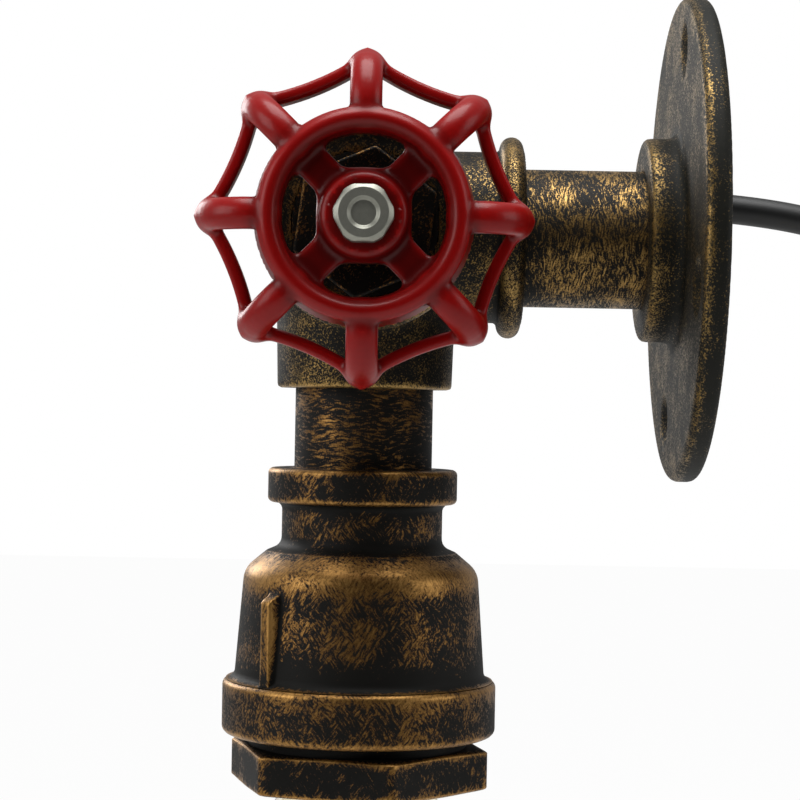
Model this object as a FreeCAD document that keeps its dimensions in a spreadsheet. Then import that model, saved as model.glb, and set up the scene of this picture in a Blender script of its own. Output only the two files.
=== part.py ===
import FreeCAD, Part

import math
import os

import Sketcher

# Industrial pipe wall light: a floor-flange wall plate, a pipe nipple, a side-outlet elbow
# with a cast valve handwheel on its side port, and a reducing socket over a screw lampholder.
# Millimetres. The origin is the centre of the wall plate's back face, +Y points into the
# wall, +Z up, and the handwheel faces +X. The lamp hangs from a vertical drop axis in front
# of the plate.

SIZES = {
    # wall plate
    "reach": 63.6,
    "plate_radius": 46.25,
    "plate_thickness": 4.7,
    "plate_edge_round": 0.9,
    "boss_radius": 19.5,
    "boss_front": 11.0,
    "boss_edge_round": 1.2,
    "boss_root_round": 1.8,
    "screw_circle_radius": 36.5,
    "screw_hole_radius": 3.35,
    "screw_sink_radius": 5.4,
    "screw_sink_depth": 1.6,
    "screw_first_angle": 73.5,
    # pipe and its threads
    "pipe_radius": 13.2,
    "pipe_wall": 2.7,
    "pipe_chamfer": 0.5,
    "thread_depth": 13.5,
    "thread_gap": 0.05,
    "plate_pipe_recess": 1.5,
    # side-outlet elbow
    "elbow_length": 29.5,
    "elbow_corner_radius": 17.5,
    "elbow_arm_radius": 16.4,
    "elbow_leg_radius": 16.7,
    "elbow_leg_round": 0.8,
    "elbow_crotch_round": 2.5,
    "bead_radius": 19.3,
    "bead_width": 4.4,
    # plug in the side port
    "plug_barrel": 12.0,
    "plug_bore_radius": 9.0,
    "plug_wall": 3.0,
    "plug_head_across": 24.0,
    "plug_head_height": 3.0,
    "washer_thickness": 0.7,
    "washer_radius": 6.5,
    # handwheel
    "wheel_play": 0.1,
    "running_gap": 0.06,
    "hub_stand": 2.3,
    "hub_radius": 7.5,
    "hub_front": 15.0,
    "hub_round": 0.9,
    "wheel_radius": 29.7,
    "wheel_depth": 13.3,
    "finger_width": 5.5,
    "finger_thickness": 4.4,
    "finger_bend": 8.6,
    "web_depth": 5.4,
    "web_thickness": 2.3,
    "web_inset": 0.7,
    "web_hollow": 1.2,
    "ring_radius": 19.3,
    "ring_rear": 8.6,
    "lip_radius": 16.6,
    "lip_width": 3.4,
    "lip_front": 16.4,
    "disc_front": 12.9,
    "disc_thickness": 3.2,
    "window_outer": 14.8,
    "window_inner": 7.9,
    "spoke_width": 6.2,
    # bolt that carries the wheel
    "bolt_radius": 3.0,
    "bolt_tail": 2.0,
    "bolt_head_across": 9.8,
    "bolt_head_height": 4.0,
    "bolt_corner_radius": 5.2,
    "bolt_face_radius": 4.3,
    "bolt_chamfer": 0.7,
    "bolt_recess_radius": 2.8,
    "bolt_recess_depth": 0.6,
    "nut_height": 5.0,
    # reducing socket
    "socket_top": 44.8,
    "band_radius": 18.15,
    "band_height": 6.6,
    "band_round": 0.9,
    "neck_radius": 15.4,
    "neck_round": 1.4,
    "shoulder_top": 60.5,
    "shoulder_start_radius": 17.2,
    "shoulder_bottom": 66.6,
    "shoulder_bend": 9.0,
    "body_top_radius": 22.3,
    "body_bottom_radius": 23.9,
    "body_round": 1.6,
    "rim_top": 85.1,
    "rim_bottom": 95.4,
    "rim_radius": 26.2,
    "rim_round": 1.1,
    "chamber_radius": 19.4,
    "chamber_top": 68.5,
    "passage_end": 63.0,
    "rib_top": 67.8,
    "rib_radius": 25.3,
    "rib_width": 2.9,
    "rib_hip": 1.3,
    "rib_turn": 136.6,
    # hexagon bush
    "bush_thread_radius": 20.95,
    "bush_thread_depth": 12.0,
    "bush_gap": 2.1,
    "hex_across": 44.4,
    "hex_height": 7.8,
    "hex_round": 0.5,
    "hex_turn": 15.5,
    "bush_bore_radius": 18.0,
    # lampholder and its hanger
    "hanger_washer_thickness": 1.5,
    "stud_radius": 5.0,
    "stud_bore_radius": 3.5,
    "stud_rise": 7.0,
    "stud_nut_across": 14.0,
    "stud_nut_height": 3.0,
    "tag_thickness": 0.6,
    "tag_radius": 8.2,
    "tag_lug": 4.0,
    "holder_radius": 17.4,
    "holder_neck_radius": 8.0,
    "holder_neck_height": 2.4,
    "holder_dome": 6.6,
    "holder_length": 38.7,
    "holder_wall": 3.55,
    "wiring_radius": 11.8,
    "wiring_slope": 2.5,
    "wiring_throat": 6.9,
    "wiring_height": 5.8,
    "stud_recess": 0.6,
    "entry_length": 3.2,
    "block_thickness": 5.0,
    "shell_thickness": 0.4,
    "shell_length": 23.7,
    "shell_lip": 4.8,
    "contact_width": 4.0,
    "contact_strip": 0.5,
    "terminal_radius": 2.2,
    "terminal_height": 2.5,
    "terminal_offset": 7.6,
    # bulb
    "cap_gap": 0.35,
    "contact_gap": 0.15,
    "cap_wall": 0.5,
    "cap_length": 26.5,
    "cap_curl": 1.0,
    "cap_shoulder": 3.5,
    "bulb_level": 1.35,
    "button_radius": 4.6,
    "button_height": 0.95,
    "pin_radius": 0.9,
    "pin_length": 5.5,
    "insulator_depth": 3.7,
    "glass_radius": 32.0,
    "glass_wall": 0.9,
    "glass_neck_radius": 12.45,
    "glass_seat": 7.0,
    "throat_radius": 14.6,
    "throat_drop": 1.6,
    "shoulder_radius": 17.6,
    "shoulder_drop": 7.8,
    "flank_radius": 30.0,
    "flank_drop": 67.3,
    "belly_drop": 86.3,
    "base_drop": 111.4,
    "base_radius": 9.0,
    "base_bend": 25.2,
    "nib_radius": 4.2,
    "nib_drop": 113.9,
    "tip_drop": 115.7,
    "stem_radius": 5.2,
    "stem_wall": 0.9,
    "stem_flare_drop": 9.0,
    "stem_tube_drop": 26.0,
    "pinch_radius": 1.9,
    "pinch_drop": 30.5,
    "rod_radius": 1.1,
    "rod_drop": 73.5,
    "bead_drop": 84.0,
    "rod_bead_radius": 2.4,
    "filament_radius": 0.9,
    "filament_top_radius": 12.6,
    "filament_top_drop": 39.5,
    "filament_bottom_radius": 8.2,
    "filament_bottom_drop": 71.0,
    "filament_turn": 21.0,
    "spider_wire": 0.6,
    "spider_hub_radius": 1.9,
    "lead_radius": 0.3,
    "lead_spread": 2.2,
    "board_width": 13.0,
    "board_thickness": 1.2,
    "board_height": 12.0,
    # wiring
    "flex_radius": 2.8,
    "flex_exit_height": 6.8,
    "sheath_end": 42.0,
    "core_radius": 0.9,
    "core_spread": 1.45,
    "tail_core_length": 13.0,
}

WINDOWS = 4
FINGERS = 8
SCREWS = 4
RIBS = 2
FILAMENTS = 4
HEX_SIDES = 6
# Where a tightened hexagon stopped, in degrees.
BOLT_LEAN = 30
PLUG_LEAN = -7

# The cord's tail behind the plate: it leaves level and hangs down in the wall.
TAIL_ROUTE = [
    (0.0, 0.0, 6.8),
    (0.0, 16.0, 5.92),
    (0.8, 34.0, 0.5),
    (2.0, 48.0, -14.0),
    (3.0, 54.0, -36.0),
    (2.2, 54.5, -62.0),
    (0.5, 52.0, -90.0),
    (-0.6, 49.5, -114.0),
]

doc = FreeCAD.newDocument("PipeWallLight")
sheet = doc.addObject("Spreadsheet::Sheet", "Sizes")
parts = []


class Size:
    """A length together with the sheet expression that gives it."""

    def __init__(self, value, text):
        self.value = float(value)
        self.text = text

    def __add__(self, other):
        other = as_size(other)
        return Size(self.value + other.value, f"({self.text} + {other.text})")

    def __sub__(self, other):
        other = as_size(other)
        return Size(self.value - other.value, f"({self.text} - {other.text})")

    def __mul__(self, other):
        other = as_size(other)
        return Size(self.value * other.value, f"({self.text} * {other.text})")

    def __truediv__(self, other):
        other = as_size(other)
        return Size(self.value / other.value, f"({self.text} / {other.text})")

    def __neg__(self):
        return Size(-self.value, f"(0 - {self.text})")


class Names:
    """The sheet's cells as attributes, so that a size reads as S.reach."""


def as_size(value):
    return value if isinstance(value, Size) else Size(value, f"{float(value):.9g}")


def nearly_half(width):
    """Radius of an arc a hair flatter than the half circle over a width."""
    return width * 0.51


def dome(radius, height):
    """Radius of the ball whose cap has the given edge radius and height."""
    return (radius * radius + height * height) / (height * 2)


def within_wall(size, wall):
    """A fillet's radius, held to two fifths of the wall that it rounds."""
    most = wall * 0.4
    return Size(min(size.value, most.value), f"min({size.text}; {most.text})")


def fill_sheet():
    names = Names()
    for row, (name, value) in enumerate(SIZES.items(), start=1):
        sheet.set(f"A{row}", name)
        sheet.set(f"B{row}", str(value))
        sheet.setAlias(f"B{row}", name)
        setattr(names, name, Size(value, f"Sizes.{name}"))
    doc.recompute()
    return names


S = fill_sheet()


# ---------------------------------------------------------------- sketches and features

def origin_feature(body, role):
    return next(item for item in body.Origin.OriginFeatures if item.Role == role)


def new_sketch(body, name, role, offset=None):
    sketch = body.newObject("Sketcher::SketchObject", name)
    sketch.AttachmentSupport = [(origin_feature(body, role), "")]
    sketch.MapMode = "FlatFace"
    if offset is not None:
        sketch.setExpression("AttachmentOffset.Base.z", as_size(offset).text)
    return sketch


def pin_point(sketch, geometry, end, corner):
    for kind, size in (("DistanceX", as_size(corner[0])), ("DistanceY", as_size(corner[1]))):
        index = sketch.addConstraint(Sketcher.Constraint(kind, -1, 1, geometry, end, size.value))
        sketch.setExpression(f"Constraints[{index}]", size.text)


def arc_between(start, end, radius):
    """Arc from start to end; a positive radius turns left along the way, a negative one right."""
    chord = end - start
    half = chord.Length / 2
    left = FreeCAD.Vector(-chord.y, chord.x, 0).normalize()
    side = 1 if radius > 0 else -1
    depth = math.sqrt(max(radius * radius - half * half, 0.0))
    centre = start + chord * 0.5 + left * (side * depth)
    middle = centre - left * (side * abs(radius))
    return Part.Arc(start, middle, end)


def outline(sketch, corners, closed=True):
    """Draw lines through the corners; a corner's third value is the radius of the arc to it."""
    spots = [FreeCAD.Vector(as_size(c[0]).value, as_size(c[1]).value, 0) for c in corners]
    first = 0 if closed else 1
    ends = []
    for index in range(first, len(corners)):
        start, end = spots[index - 1], spots[index]
        bend = as_size(corners[index][2]) if len(corners[index]) > 2 else None
        if bend is None:
            item = sketch.addGeometry(Part.LineSegment(start, end), False)
            ends.append((item, 1, 2))
        else:
            item = sketch.addGeometry(arc_between(start, end, bend.value), False)
            ends.append((item, 1, 2) if bend.value > 0 else (item, 2, 1))
            size = bend if bend.value > 0 else -bend
            radius = sketch.addConstraint(Sketcher.Constraint("Radius", item, size.value))
            sketch.setExpression(f"Constraints[{radius}]", size.text)
        pin_point(sketch, item, ends[-1][2], corners[index])
    for before, after in zip(ends, ends[1:]):
        sketch.addConstraint(Sketcher.Constraint("Coincident", before[0], before[2], after[0], after[1]))
    if closed:
        last, head = ends[-1], ends[0]
        sketch.addConstraint(Sketcher.Constraint("Coincident", last[0], last[2], head[0], head[1]))
    else:
        pin_point(sketch, ends[0][0], ends[0][1], corners[0])
    return sketch


def hexagon(sketch, across, lean=0):
    """Six corners of a hexagon of the given size across its flats, turned by a few degrees."""
    reach = across / math.sqrt(3)
    turns = [math.radians(360 / HEX_SIDES * index + lean) for index in range(HEX_SIDES)]
    return outline(sketch, [(reach * math.cos(turn), reach * math.sin(turn)) for turn in turns])


def circle(sketch, radius, x=0, y=0):
    spot = FreeCAD.Vector(as_size(x).value, as_size(y).value, 0)
    item = sketch.addGeometry(Part.Circle(spot, FreeCAD.Vector(0, 0, 1), radius.value), False)
    pin_point(sketch, item, 3, (x, y))
    index = sketch.addConstraint(Sketcher.Constraint("Radius", item, radius.value))
    sketch.setExpression(f"Constraints[{index}]", radius.text)
    return sketch


def revolve(body, sketch, axis="V_Axis", cut=False):
    kind = "PartDesign::Groove" if cut else "PartDesign::Revolution"
    feature = body.newObject(kind, sketch.Name + ("Groove" if cut else "Turn"))
    feature.Profile = sketch
    feature.ReferenceAxis = (sketch, [axis])
    feature.Angle = 360
    doc.recompute()
    return feature


def pad(body, sketch, length, both_ways=False):
    feature = body.newObject("PartDesign::Pad", sketch.Name + "Pad")
    feature.Profile = sketch
    feature.SideType = "Symmetric" if both_ways else "One side"
    feature.setExpression("Length", as_size(length).text)
    doc.recompute()
    return feature


def pocket(body, sketch, length):
    """Cut both ways from the sketch plane by half the length."""
    feature = body.newObject("PartDesign::Pocket", sketch.Name + "Pocket")
    feature.Profile = sketch
    feature.SideType = "Symmetric"
    feature.setExpression("Length", as_size(length).text)
    doc.recompute()
    return feature


def around(body, features, count, role="Z_Axis"):
    pattern = body.newObject("PartDesign::PolarPattern", features[0].Name + "Round")
    pattern.Originals = features
    pattern.Axis = (origin_feature(body, role), [""])
    pattern.Angle = 360
    pattern.Occurrences = count
    body.Tip = pattern
    doc.recompute()
    return pattern


def curve_of(edge):
    """The edge's curve, or nothing where two surfaces meet along a curve of no named kind."""
    try:
        return edge.Curve
    except TypeError:
        return None


def circle_edges(shape, rings):
    """Names of the full circles about Z with the given (radius, height) pairs."""
    found = []
    for index, edge in enumerate(shape.Edges, start=1):
        if not isinstance(curve_of(edge), Part.Circle):
            continue
        centre = edge.Curve.Center
        for radius, height in rings:
            off_axis = math.hypot(centre.x, centre.y)
            off_size = abs(edge.Curve.Radius - as_size(radius).value)
            off_height = abs(centre.z - as_size(height).value)
            if max(off_axis, off_size, off_height) < 1e-3:
                found.append(f"Edge{index}")
    return found


def dress(body, kind, size, edges):
    """Fillet or chamfer the named edges of the body's tip."""
    if not edges:
        raise RuntimeError(f"{body.Label}: no edge to {kind}")
    base = body.Tip
    feature = body.newObject(f"PartDesign::{kind}", base.Name + kind)
    feature.Base = (base, edges)
    feature.setExpression("Radius" if kind == "Fillet" else "Size", as_size(size).text)
    doc.recompute()
    return feature


def round_rings(body, size, rings):
    return dress(body, "Fillet", size, circle_edges(body.Tip.Shape, rings))


def place(item, x=0, y=0, z=0, turn=None):
    if turn is not None:
        item.Placement = FreeCAD.Placement(FreeCAD.Vector(), turn)
    for axis, value in (("x", x), ("y", y), ("z", z)):
        item.setExpression(f"Placement.Base.{axis}", as_size(value).text)


def new_body(label):
    body = doc.addObject("PartDesign::Body", label)
    body.Label = label
    parts.append(body)
    return body


def turned(label, corners):
    """A body turned about its own Z from one closed outline of (radius, height) corners."""
    body = new_body(label)
    sketch = outline(new_sketch(body, label + "Outline", "XZ_Plane"), corners)
    revolve(body, sketch)
    return body


def shaped(label, shape):
    item = doc.addObject("Part::Feature", label)
    item.Label = label
    item.Shape = shape
    parts.append(item)
    return item


# A piece drawn along its own Z is laid along -Y, +X or -Z by one of these.
TOWARDS_ROOM = FreeCAD.Rotation(FreeCAD.Vector(1, 0, 0), 90)
TOWARDS_WHEEL = FreeCAD.Rotation(FreeCAD.Vector(0, 1, 0), 90)
DOWNWARDS = FreeCAD.Rotation(FreeCAD.Vector(1, 0, 0), 180)


def about_z(angle):
    return FreeCAD.Rotation(FreeCAD.Vector(0, 0, 1), angle)


# Sizes that several pieces share.
thread_radius = S.pipe_radius + S.thread_gap
passage_radius = S.pipe_radius - S.pipe_wall
pipe_stop = S.elbow_length - S.thread_depth
drop_nipple_end = S.socket_top + S.thread_depth
hanger_seat = drop_nipple_end + S.hanger_washer_thickness
bolt_hole_radius = S.bolt_radius + S.thread_gap
hub_rear = S.elbow_length + S.plug_head_height + S.washer_thickness + S.wheel_play
hex_top = S.rim_bottom + S.bush_gap
hex_bottom = hex_top + S.hex_height
holder_top = hanger_seat + S.stud_nut_height
wiring_top = holder_top + S.entry_length
block_top = wiring_top + S.wiring_height
block_bottom = block_top + S.block_thickness
holder_bore_radius = S.holder_radius - S.holder_wall
shell_radius = holder_bore_radius - S.thread_gap
cap_radius = shell_radius - S.shell_thickness - S.cap_gap
button_top = block_bottom + S.contact_strip + S.contact_gap
cap_bottom = button_top + S.cap_length


# ---------------------------------------------------------------- wall plate and pipes

def make_wall_flange():
    body = turned("wall_flange", [
        (thread_radius, 0),
        (S.plate_radius, 0),
        (S.plate_radius, S.plate_thickness),
        (S.boss_radius, S.plate_thickness),
        (S.boss_radius, S.boss_front),
        (thread_radius, S.boss_front),
    ])
    round_rings(body, S.plate_edge_round, [(S.plate_radius, S.plate_thickness)])
    round_rings(body, S.boss_edge_round, [(S.boss_radius, S.boss_front)])
    round_rings(body, S.boss_root_round, [(S.boss_radius, S.plate_thickness)])
    hole = new_sketch(body, "ScrewHole", "XZ_Plane")
    outline(hole, [
        (S.screw_circle_radius, 0),
        (S.screw_circle_radius + S.screw_hole_radius, 0),
        (S.screw_circle_radius + S.screw_hole_radius, S.plate_thickness - S.screw_sink_depth),
        (S.screw_circle_radius + S.screw_sink_radius, S.plate_thickness),
        (S.screw_circle_radius, S.plate_thickness),
    ])
    centre = FreeCAD.Vector(S.screw_circle_radius.value, 0, 0)
    above = FreeCAD.Vector(S.screw_circle_radius.value, S.plate_thickness.value, 0)
    axis = hole.addGeometry(Part.LineSegment(centre, above), True)
    pin_point(hole, axis, 1, (S.screw_circle_radius, 0))
    pin_point(hole, axis, 2, (S.screw_circle_radius, S.plate_thickness))
    around(body, [revolve(body, hole, "Axis0", cut=True)], SCREWS)
    place(body, turn=TOWARDS_ROOM.multiply(about_z(S.screw_first_angle.value)))


def make_nipple(label, length):
    body = turned(label, [
        (passage_radius, 0),
        (S.pipe_radius, 0),
        (S.pipe_radius, length),
        (passage_radius, length),
    ])
    rings = circle_edges(body.Tip.Shape, [(S.pipe_radius, 0), (S.pipe_radius, length)])
    dress(body, "Chamfer", S.pipe_chamfer, rings)
    return body


def make_nipples():
    length = S.reach - pipe_stop - S.plate_pipe_recess
    place(make_nipple("wall_nipple", length), y=-S.plate_pipe_recess, turn=TOWARDS_ROOM)
    drop = make_nipple("drop_nipple", drop_nipple_end - pipe_stop)
    place(drop, y=-S.reach, z=-pipe_stop, turn=DOWNWARDS)


# ---------------------------------------------------------------- side-outlet elbow

def arm_outline(sketch):
    """Half section of one beaded arm, along the sketch's own horizontal axis."""
    half = S.bead_width / 2
    return outline(sketch, [
        (0, 0),
        (S.elbow_length, 0),
        (S.elbow_length, S.bead_radius - half),
        (S.elbow_length - S.bead_width, S.bead_radius - half, nearly_half(S.bead_width)),
        (S.elbow_length - S.bead_width, S.elbow_arm_radius),
        (0, S.elbow_arm_radius),
    ])


def port_outline(sketch, along_x):
    """Half section of a threaded port and the passage behind it."""
    corners = [
        (0, 0),
        (S.elbow_length, 0),
        (S.elbow_length, thread_radius),
        (pipe_stop, thread_radius),
        (pipe_stop, passage_radius),
        (0, passage_radius),
    ]
    if not along_x:
        corners = [(radius, -along) for along, radius in corners]
    return outline(sketch, corners)


def crotch_edges(shape):
    """Edges where two arms of the casting meet, found by their middle point's distances."""
    found = []
    for index, edge in enumerate(shape.Edges, start=1):
        if isinstance(curve_of(edge), (Part.Circle, Part.Line)):
            continue
        middle = edge.valueAt((edge.FirstParameter + edge.LastParameter) / 2)
        if middle.Length > S.elbow_corner_radius.value - 0.2:
            found.append(f"Edge{index}")
    return found


def make_elbow():
    body = new_body("side_outlet_elbow")
    leg = outline(new_sketch(body, "Leg", "XZ_Plane"), [
        (0, -S.elbow_length),
        (S.elbow_leg_radius, -S.elbow_length),
        (S.elbow_corner_radius, 0),
        (0, S.elbow_corner_radius, S.elbow_corner_radius),
    ])
    revolve(body, leg)
    revolve(body, arm_outline(new_sketch(body, "SideArm", "XZ_Plane")), "H_Axis")
    revolve(body, arm_outline(new_sketch(body, "WallArm", "YZ_Plane")), "H_Axis")
    dress(body, "Fillet", S.elbow_crotch_round, crotch_edges(body.Tip.Shape))
    round_rings(body, S.elbow_leg_round, [(S.elbow_leg_radius, -S.elbow_length)])
    revolve(body, port_outline(new_sketch(body, "DropPort", "XZ_Plane"), False), cut=True)
    revolve(body, port_outline(new_sketch(body, "SidePort", "XZ_Plane"), True), "H_Axis", cut=True)
    revolve(body, port_outline(new_sketch(body, "WallPort", "YZ_Plane"), True), "H_Axis", cut=True)
    place(body, y=-S.reach)


# ---------------------------------------------------------------- plug, bolt and handwheel

def make_port_plug():
    body = turned("port_plug", [
        (bolt_hole_radius, S.elbow_length),
        (S.pipe_radius, S.elbow_length),
        (S.pipe_radius, S.elbow_length - S.plug_barrel),
        (S.plug_bore_radius, S.elbow_length - S.plug_barrel),
        (S.plug_bore_radius, S.elbow_length - S.plug_wall),
        (bolt_hole_radius, S.elbow_length - S.plug_wall),
    ])
    head = new_sketch(body, "PlugHead", "XY_Plane", S.elbow_length)
    hexagon(head, S.plug_head_across, PLUG_LEAN)
    circle(head, bolt_hole_radius)
    pad(body, head, S.plug_head_height)
    place(body, y=-S.reach, turn=TOWARDS_WHEEL)


def hex_nut(label, across, height, bore, start):
    """A hexagon nut standing on its own XY plane at the given height."""
    body = new_body(label)
    sketch = new_sketch(body, label + "Outline", "XY_Plane", start)
    hexagon(sketch, across)
    circle(sketch, bore)
    pad(body, sketch, height)
    return body


def make_washer():
    start = S.elbow_length + S.plug_head_height
    body = turned("wheel_washer", [
        (bolt_hole_radius, start),
        (S.washer_radius, start),
        (S.washer_radius, start + S.washer_thickness),
        (bolt_hole_radius, start + S.washer_thickness),
    ])
    place(body, y=-S.reach, turn=TOWARDS_WHEEL)


def make_bolt_and_nut():
    wall_back = S.elbow_length - S.plug_wall
    nut = hex_nut("bolt_nut", S.bolt_head_across, S.nut_height, bolt_hole_radius,
                  wall_back - S.nut_height)
    place(nut, y=-S.reach, turn=TOWARDS_WHEEL)
    seat = hub_rear + S.hub_front + S.wheel_play
    top = seat + S.bolt_head_height
    body = turned("wheel_bolt", [
        (0, wall_back - S.nut_height - S.bolt_tail),
        (S.bolt_radius, wall_back - S.nut_height - S.bolt_tail),
        (S.bolt_radius, seat),
        (0, seat),
    ])
    head = hexagon(new_sketch(body, "BoltHead", "XY_Plane", seat), S.bolt_head_across, BOLT_LEAN)
    pad(body, head, S.bolt_head_height)
    # The head's corners are turned off to a circle, and its middle is dished.
    revolve(body, outline(new_sketch(body, "HeadTurning", "XZ_Plane"), [
        (S.bolt_face_radius, top),
        (S.bolt_corner_radius, top - S.bolt_chamfer),
        (S.bolt_corner_radius, seat),
        (S.bolt_head_across, seat),
        (S.bolt_head_across, top),
    ]), cut=True)
    revolve(body, outline(new_sketch(body, "HeadDish", "XZ_Plane"), [
        (0, top),
        (0, top - S.bolt_recess_depth),
        (S.bolt_recess_radius - S.bolt_recess_depth, top - S.bolt_recess_depth),
        (S.bolt_recess_radius, top),
    ]), cut=True)
    place(body, y=-S.reach, turn=TOWARDS_WHEEL)


def wheel_section(body):
    """Hub, recessed disc and raised ring of the handwheel, turned in one piece."""
    half = S.lip_width / 2
    disc_rear = S.disc_front - S.disc_thickness
    return outline(new_sketch(body, "WheelSection", "XZ_Plane"), [
        (S.bolt_radius + S.running_gap, 0),
        (S.hub_radius - S.hub_round, 0),
        (S.hub_radius, disc_rear),
        (S.ring_radius - S.lip_width, disc_rear),
        (S.ring_radius - S.lip_width, S.ring_rear),
        (S.ring_radius, S.ring_rear),
        (S.lip_radius + half, S.lip_front - half),
        (S.lip_radius - half, S.lip_front - half, nearly_half(S.lip_width)),
        (S.lip_radius - half, S.disc_front),
        (S.hub_radius, S.disc_front),
        (S.hub_radius, S.hub_front),
        (S.bolt_radius + S.running_gap, S.hub_front),
    ])


def add_fingers(body):
    """Rounded fingers that curl from under the ring's lip back to the rear plane."""
    rear = S.hub_stand
    outer = S.wheel_radius - S.finger_thickness / 2
    crest = S.hub_stand + S.wheel_depth - S.finger_thickness / 2
    path = outline(new_sketch(body, "FingerPath", "XZ_Plane"), [
        (outer, rear),
        (outer, crest - S.finger_bend),
        (outer - S.finger_bend, crest, S.finger_bend),
        (S.lip_radius, crest),
    ], closed=False)
    section = new_sketch(body, "FingerSection", "XY_Plane", rear)
    half_width = S.finger_width / 2
    half_thick = S.finger_thickness / 2
    nose = S.finger_width / 2
    outline(section, [
        (outer - half_thick, -half_width),
        (outer + half_thick - nose, -half_width),
        (outer + half_thick - nose, half_width, nearly_half(S.finger_width)),
        (outer - half_thick, half_width),
    ])
    finger = body.newObject("PartDesign::AdditivePipe", "Finger")
    finger.Profile = section
    finger.Spine = path
    doc.recompute()
    around(body, [finger], FINGERS)


def add_webs(body):
    """Thin hollow-curved webs that join the finger tips along the rear plane."""
    outer = S.wheel_radius - S.web_inset
    inner = outer - S.web_thickness
    step = 2 * math.pi / FINGERS
    bend = dome(outer * math.sin(step / 2), S.web_hollow)
    web = outline(new_sketch(body, "Web", "XY_Plane", S.hub_stand), [
        (outer, 0),
        (outer * math.cos(step), outer * math.sin(step), -bend),
        (inner * math.cos(step), inner * math.sin(step)),
        (inner, 0, bend),
    ])
    around(body, [pad(body, web, S.web_depth)], FINGERS)


def add_windows(body):
    """Kidney windows between four spokes that lie on the diagonals."""
    half = S.spoke_width / 2
    turn = math.pi / WINDOWS

    def side(radius):
        # Where the circle meets a spoke's edge, a line half a spoke beside the diagonal.
        deep = math.asin(half.value / radius.value)
        angle = turn - deep
        return (radius * math.cos(angle), radius * math.sin(angle))

    outer_x, outer_y = side(S.window_outer)
    inner_x, inner_y = side(S.window_inner)
    window = outline(new_sketch(body, "Window", "XY_Plane", S.disc_front), [
        (outer_x, -outer_y),
        (outer_x, outer_y, S.window_outer),
        (inner_x, inner_y),
        (inner_x, -inner_y, -S.window_inner),
    ])
    around(body, [pocket(body, window, S.disc_thickness * 3)], WINDOWS)


def make_handwheel():
    body = new_body("handwheel")
    revolve(body, wheel_section(body))
    round_rings(body, S.hub_round, [(S.hub_radius, S.hub_front)])
    add_fingers(body)
    add_webs(body)
    add_windows(body)
    place(body, x=hub_rear, y=-S.reach, turn=TOWARDS_WHEEL)


# ---------------------------------------------------------------- reducing socket and bush

def make_reducing_socket():
    bush_seat = S.rim_bottom - S.bush_thread_depth
    bush_bore = S.bush_thread_radius + S.thread_gap
    body = turned("reducing_socket", [
        (thread_radius, -S.socket_top),
        (S.band_radius, -S.socket_top),
        (S.band_radius, -(S.socket_top + S.band_height)),
        (S.neck_radius, -(S.socket_top + S.band_height)),
        (S.neck_radius, -S.shoulder_top),
        (S.shoulder_start_radius, -S.shoulder_top),
        (S.body_top_radius, -S.shoulder_bottom, -S.shoulder_bend),
        (S.body_bottom_radius, -S.rim_top),
        (S.rim_radius, -S.rim_top),
        (S.rim_radius, -S.rim_bottom),
        (bush_bore, -S.rim_bottom),
        (bush_bore, -bush_seat),
        (S.chamber_radius, -bush_seat),
        (S.chamber_radius, -S.chamber_top),
        (passage_radius, -S.passage_end),
        (passage_radius, -hanger_seat),
        (thread_radius, -hanger_seat),
    ])
    band_bottom = -(S.socket_top + S.band_height)
    round_rings(body, S.band_round, [(S.band_radius, -S.socket_top), (S.band_radius, band_bottom)])
    round_rings(body, S.neck_round, [(S.neck_radius, band_bottom), (S.neck_radius, -S.shoulder_top)])
    round_rings(body, S.body_round, [(S.body_bottom_radius, -S.rim_top)])
    rim_round = within_wall(S.rim_round, S.rim_bottom - S.rim_top)
    round_rings(body, rim_round, [(S.rim_radius, -S.rim_top), (S.rim_radius, -S.rim_bottom)])
    root = (S.chamber_radius + S.body_bottom_radius) / 2
    rib = outline(new_sketch(body, "Rib", "XZ_Plane"), [
        (root, -S.rib_top),
        (S.rib_radius - S.rib_hip, -S.rib_top),
        (S.rib_radius, -(S.rib_top + S.rib_hip)),
        (S.rib_radius, -(S.rim_top + rim_round)),
        (root, -(S.rim_top + rim_round)),
    ])
    around(body, [pad(body, rib, S.rib_width, both_ways=True)], RIBS)
    place(body, y=-S.reach, turn=about_z(S.rib_turn.value))


def hexagon_edges(shape, across, low, high):
    """The edges of a hexagon prism: its corners and its top and bottom sides."""
    found = []
    flat = across.value / 2
    for index, edge in enumerate(shape.Edges, start=1):
        if not isinstance(curve_of(edge), Part.Line):
            continue
        middle = edge.valueAt((edge.FirstParameter + edge.LastParameter) / 2)
        if math.hypot(middle.x, middle.y) > flat - 1e-3 and low.value - 1e-3 < middle.z < high.value + 1e-3:
            found.append(f"Edge{index}")
    return found


def make_hex_bush():
    body = new_body("hex_bush")
    pad(body, hexagon(new_sketch(body, "BushHex", "XY_Plane", -hex_bottom), S.hex_across),
        S.hex_height)
    dress(body, "Fillet", S.hex_round,
          hexagon_edges(body.Tip.Shape, S.hex_across, -hex_bottom, -hex_top))
    top = S.rim_bottom - S.bush_thread_depth
    revolve(body, outline(new_sketch(body, "BushThread", "XZ_Plane"), [
        (0, -hex_top),
        (S.bush_thread_radius, -hex_top),
        (S.bush_thread_radius, -top),
        (0, -top),
    ]))
    revolve(body, outline(new_sketch(body, "BushBore", "XZ_Plane"), [
        (0, -hex_bottom),
        (S.bush_bore_radius, -hex_bottom),
        (S.bush_bore_radius, -top),
        (0, -top),
    ]), cut=True)
    place(body, y=-S.reach, turn=about_z(S.hex_turn.value))


# ---------------------------------------------------------------- lampholder and its hanger

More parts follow.
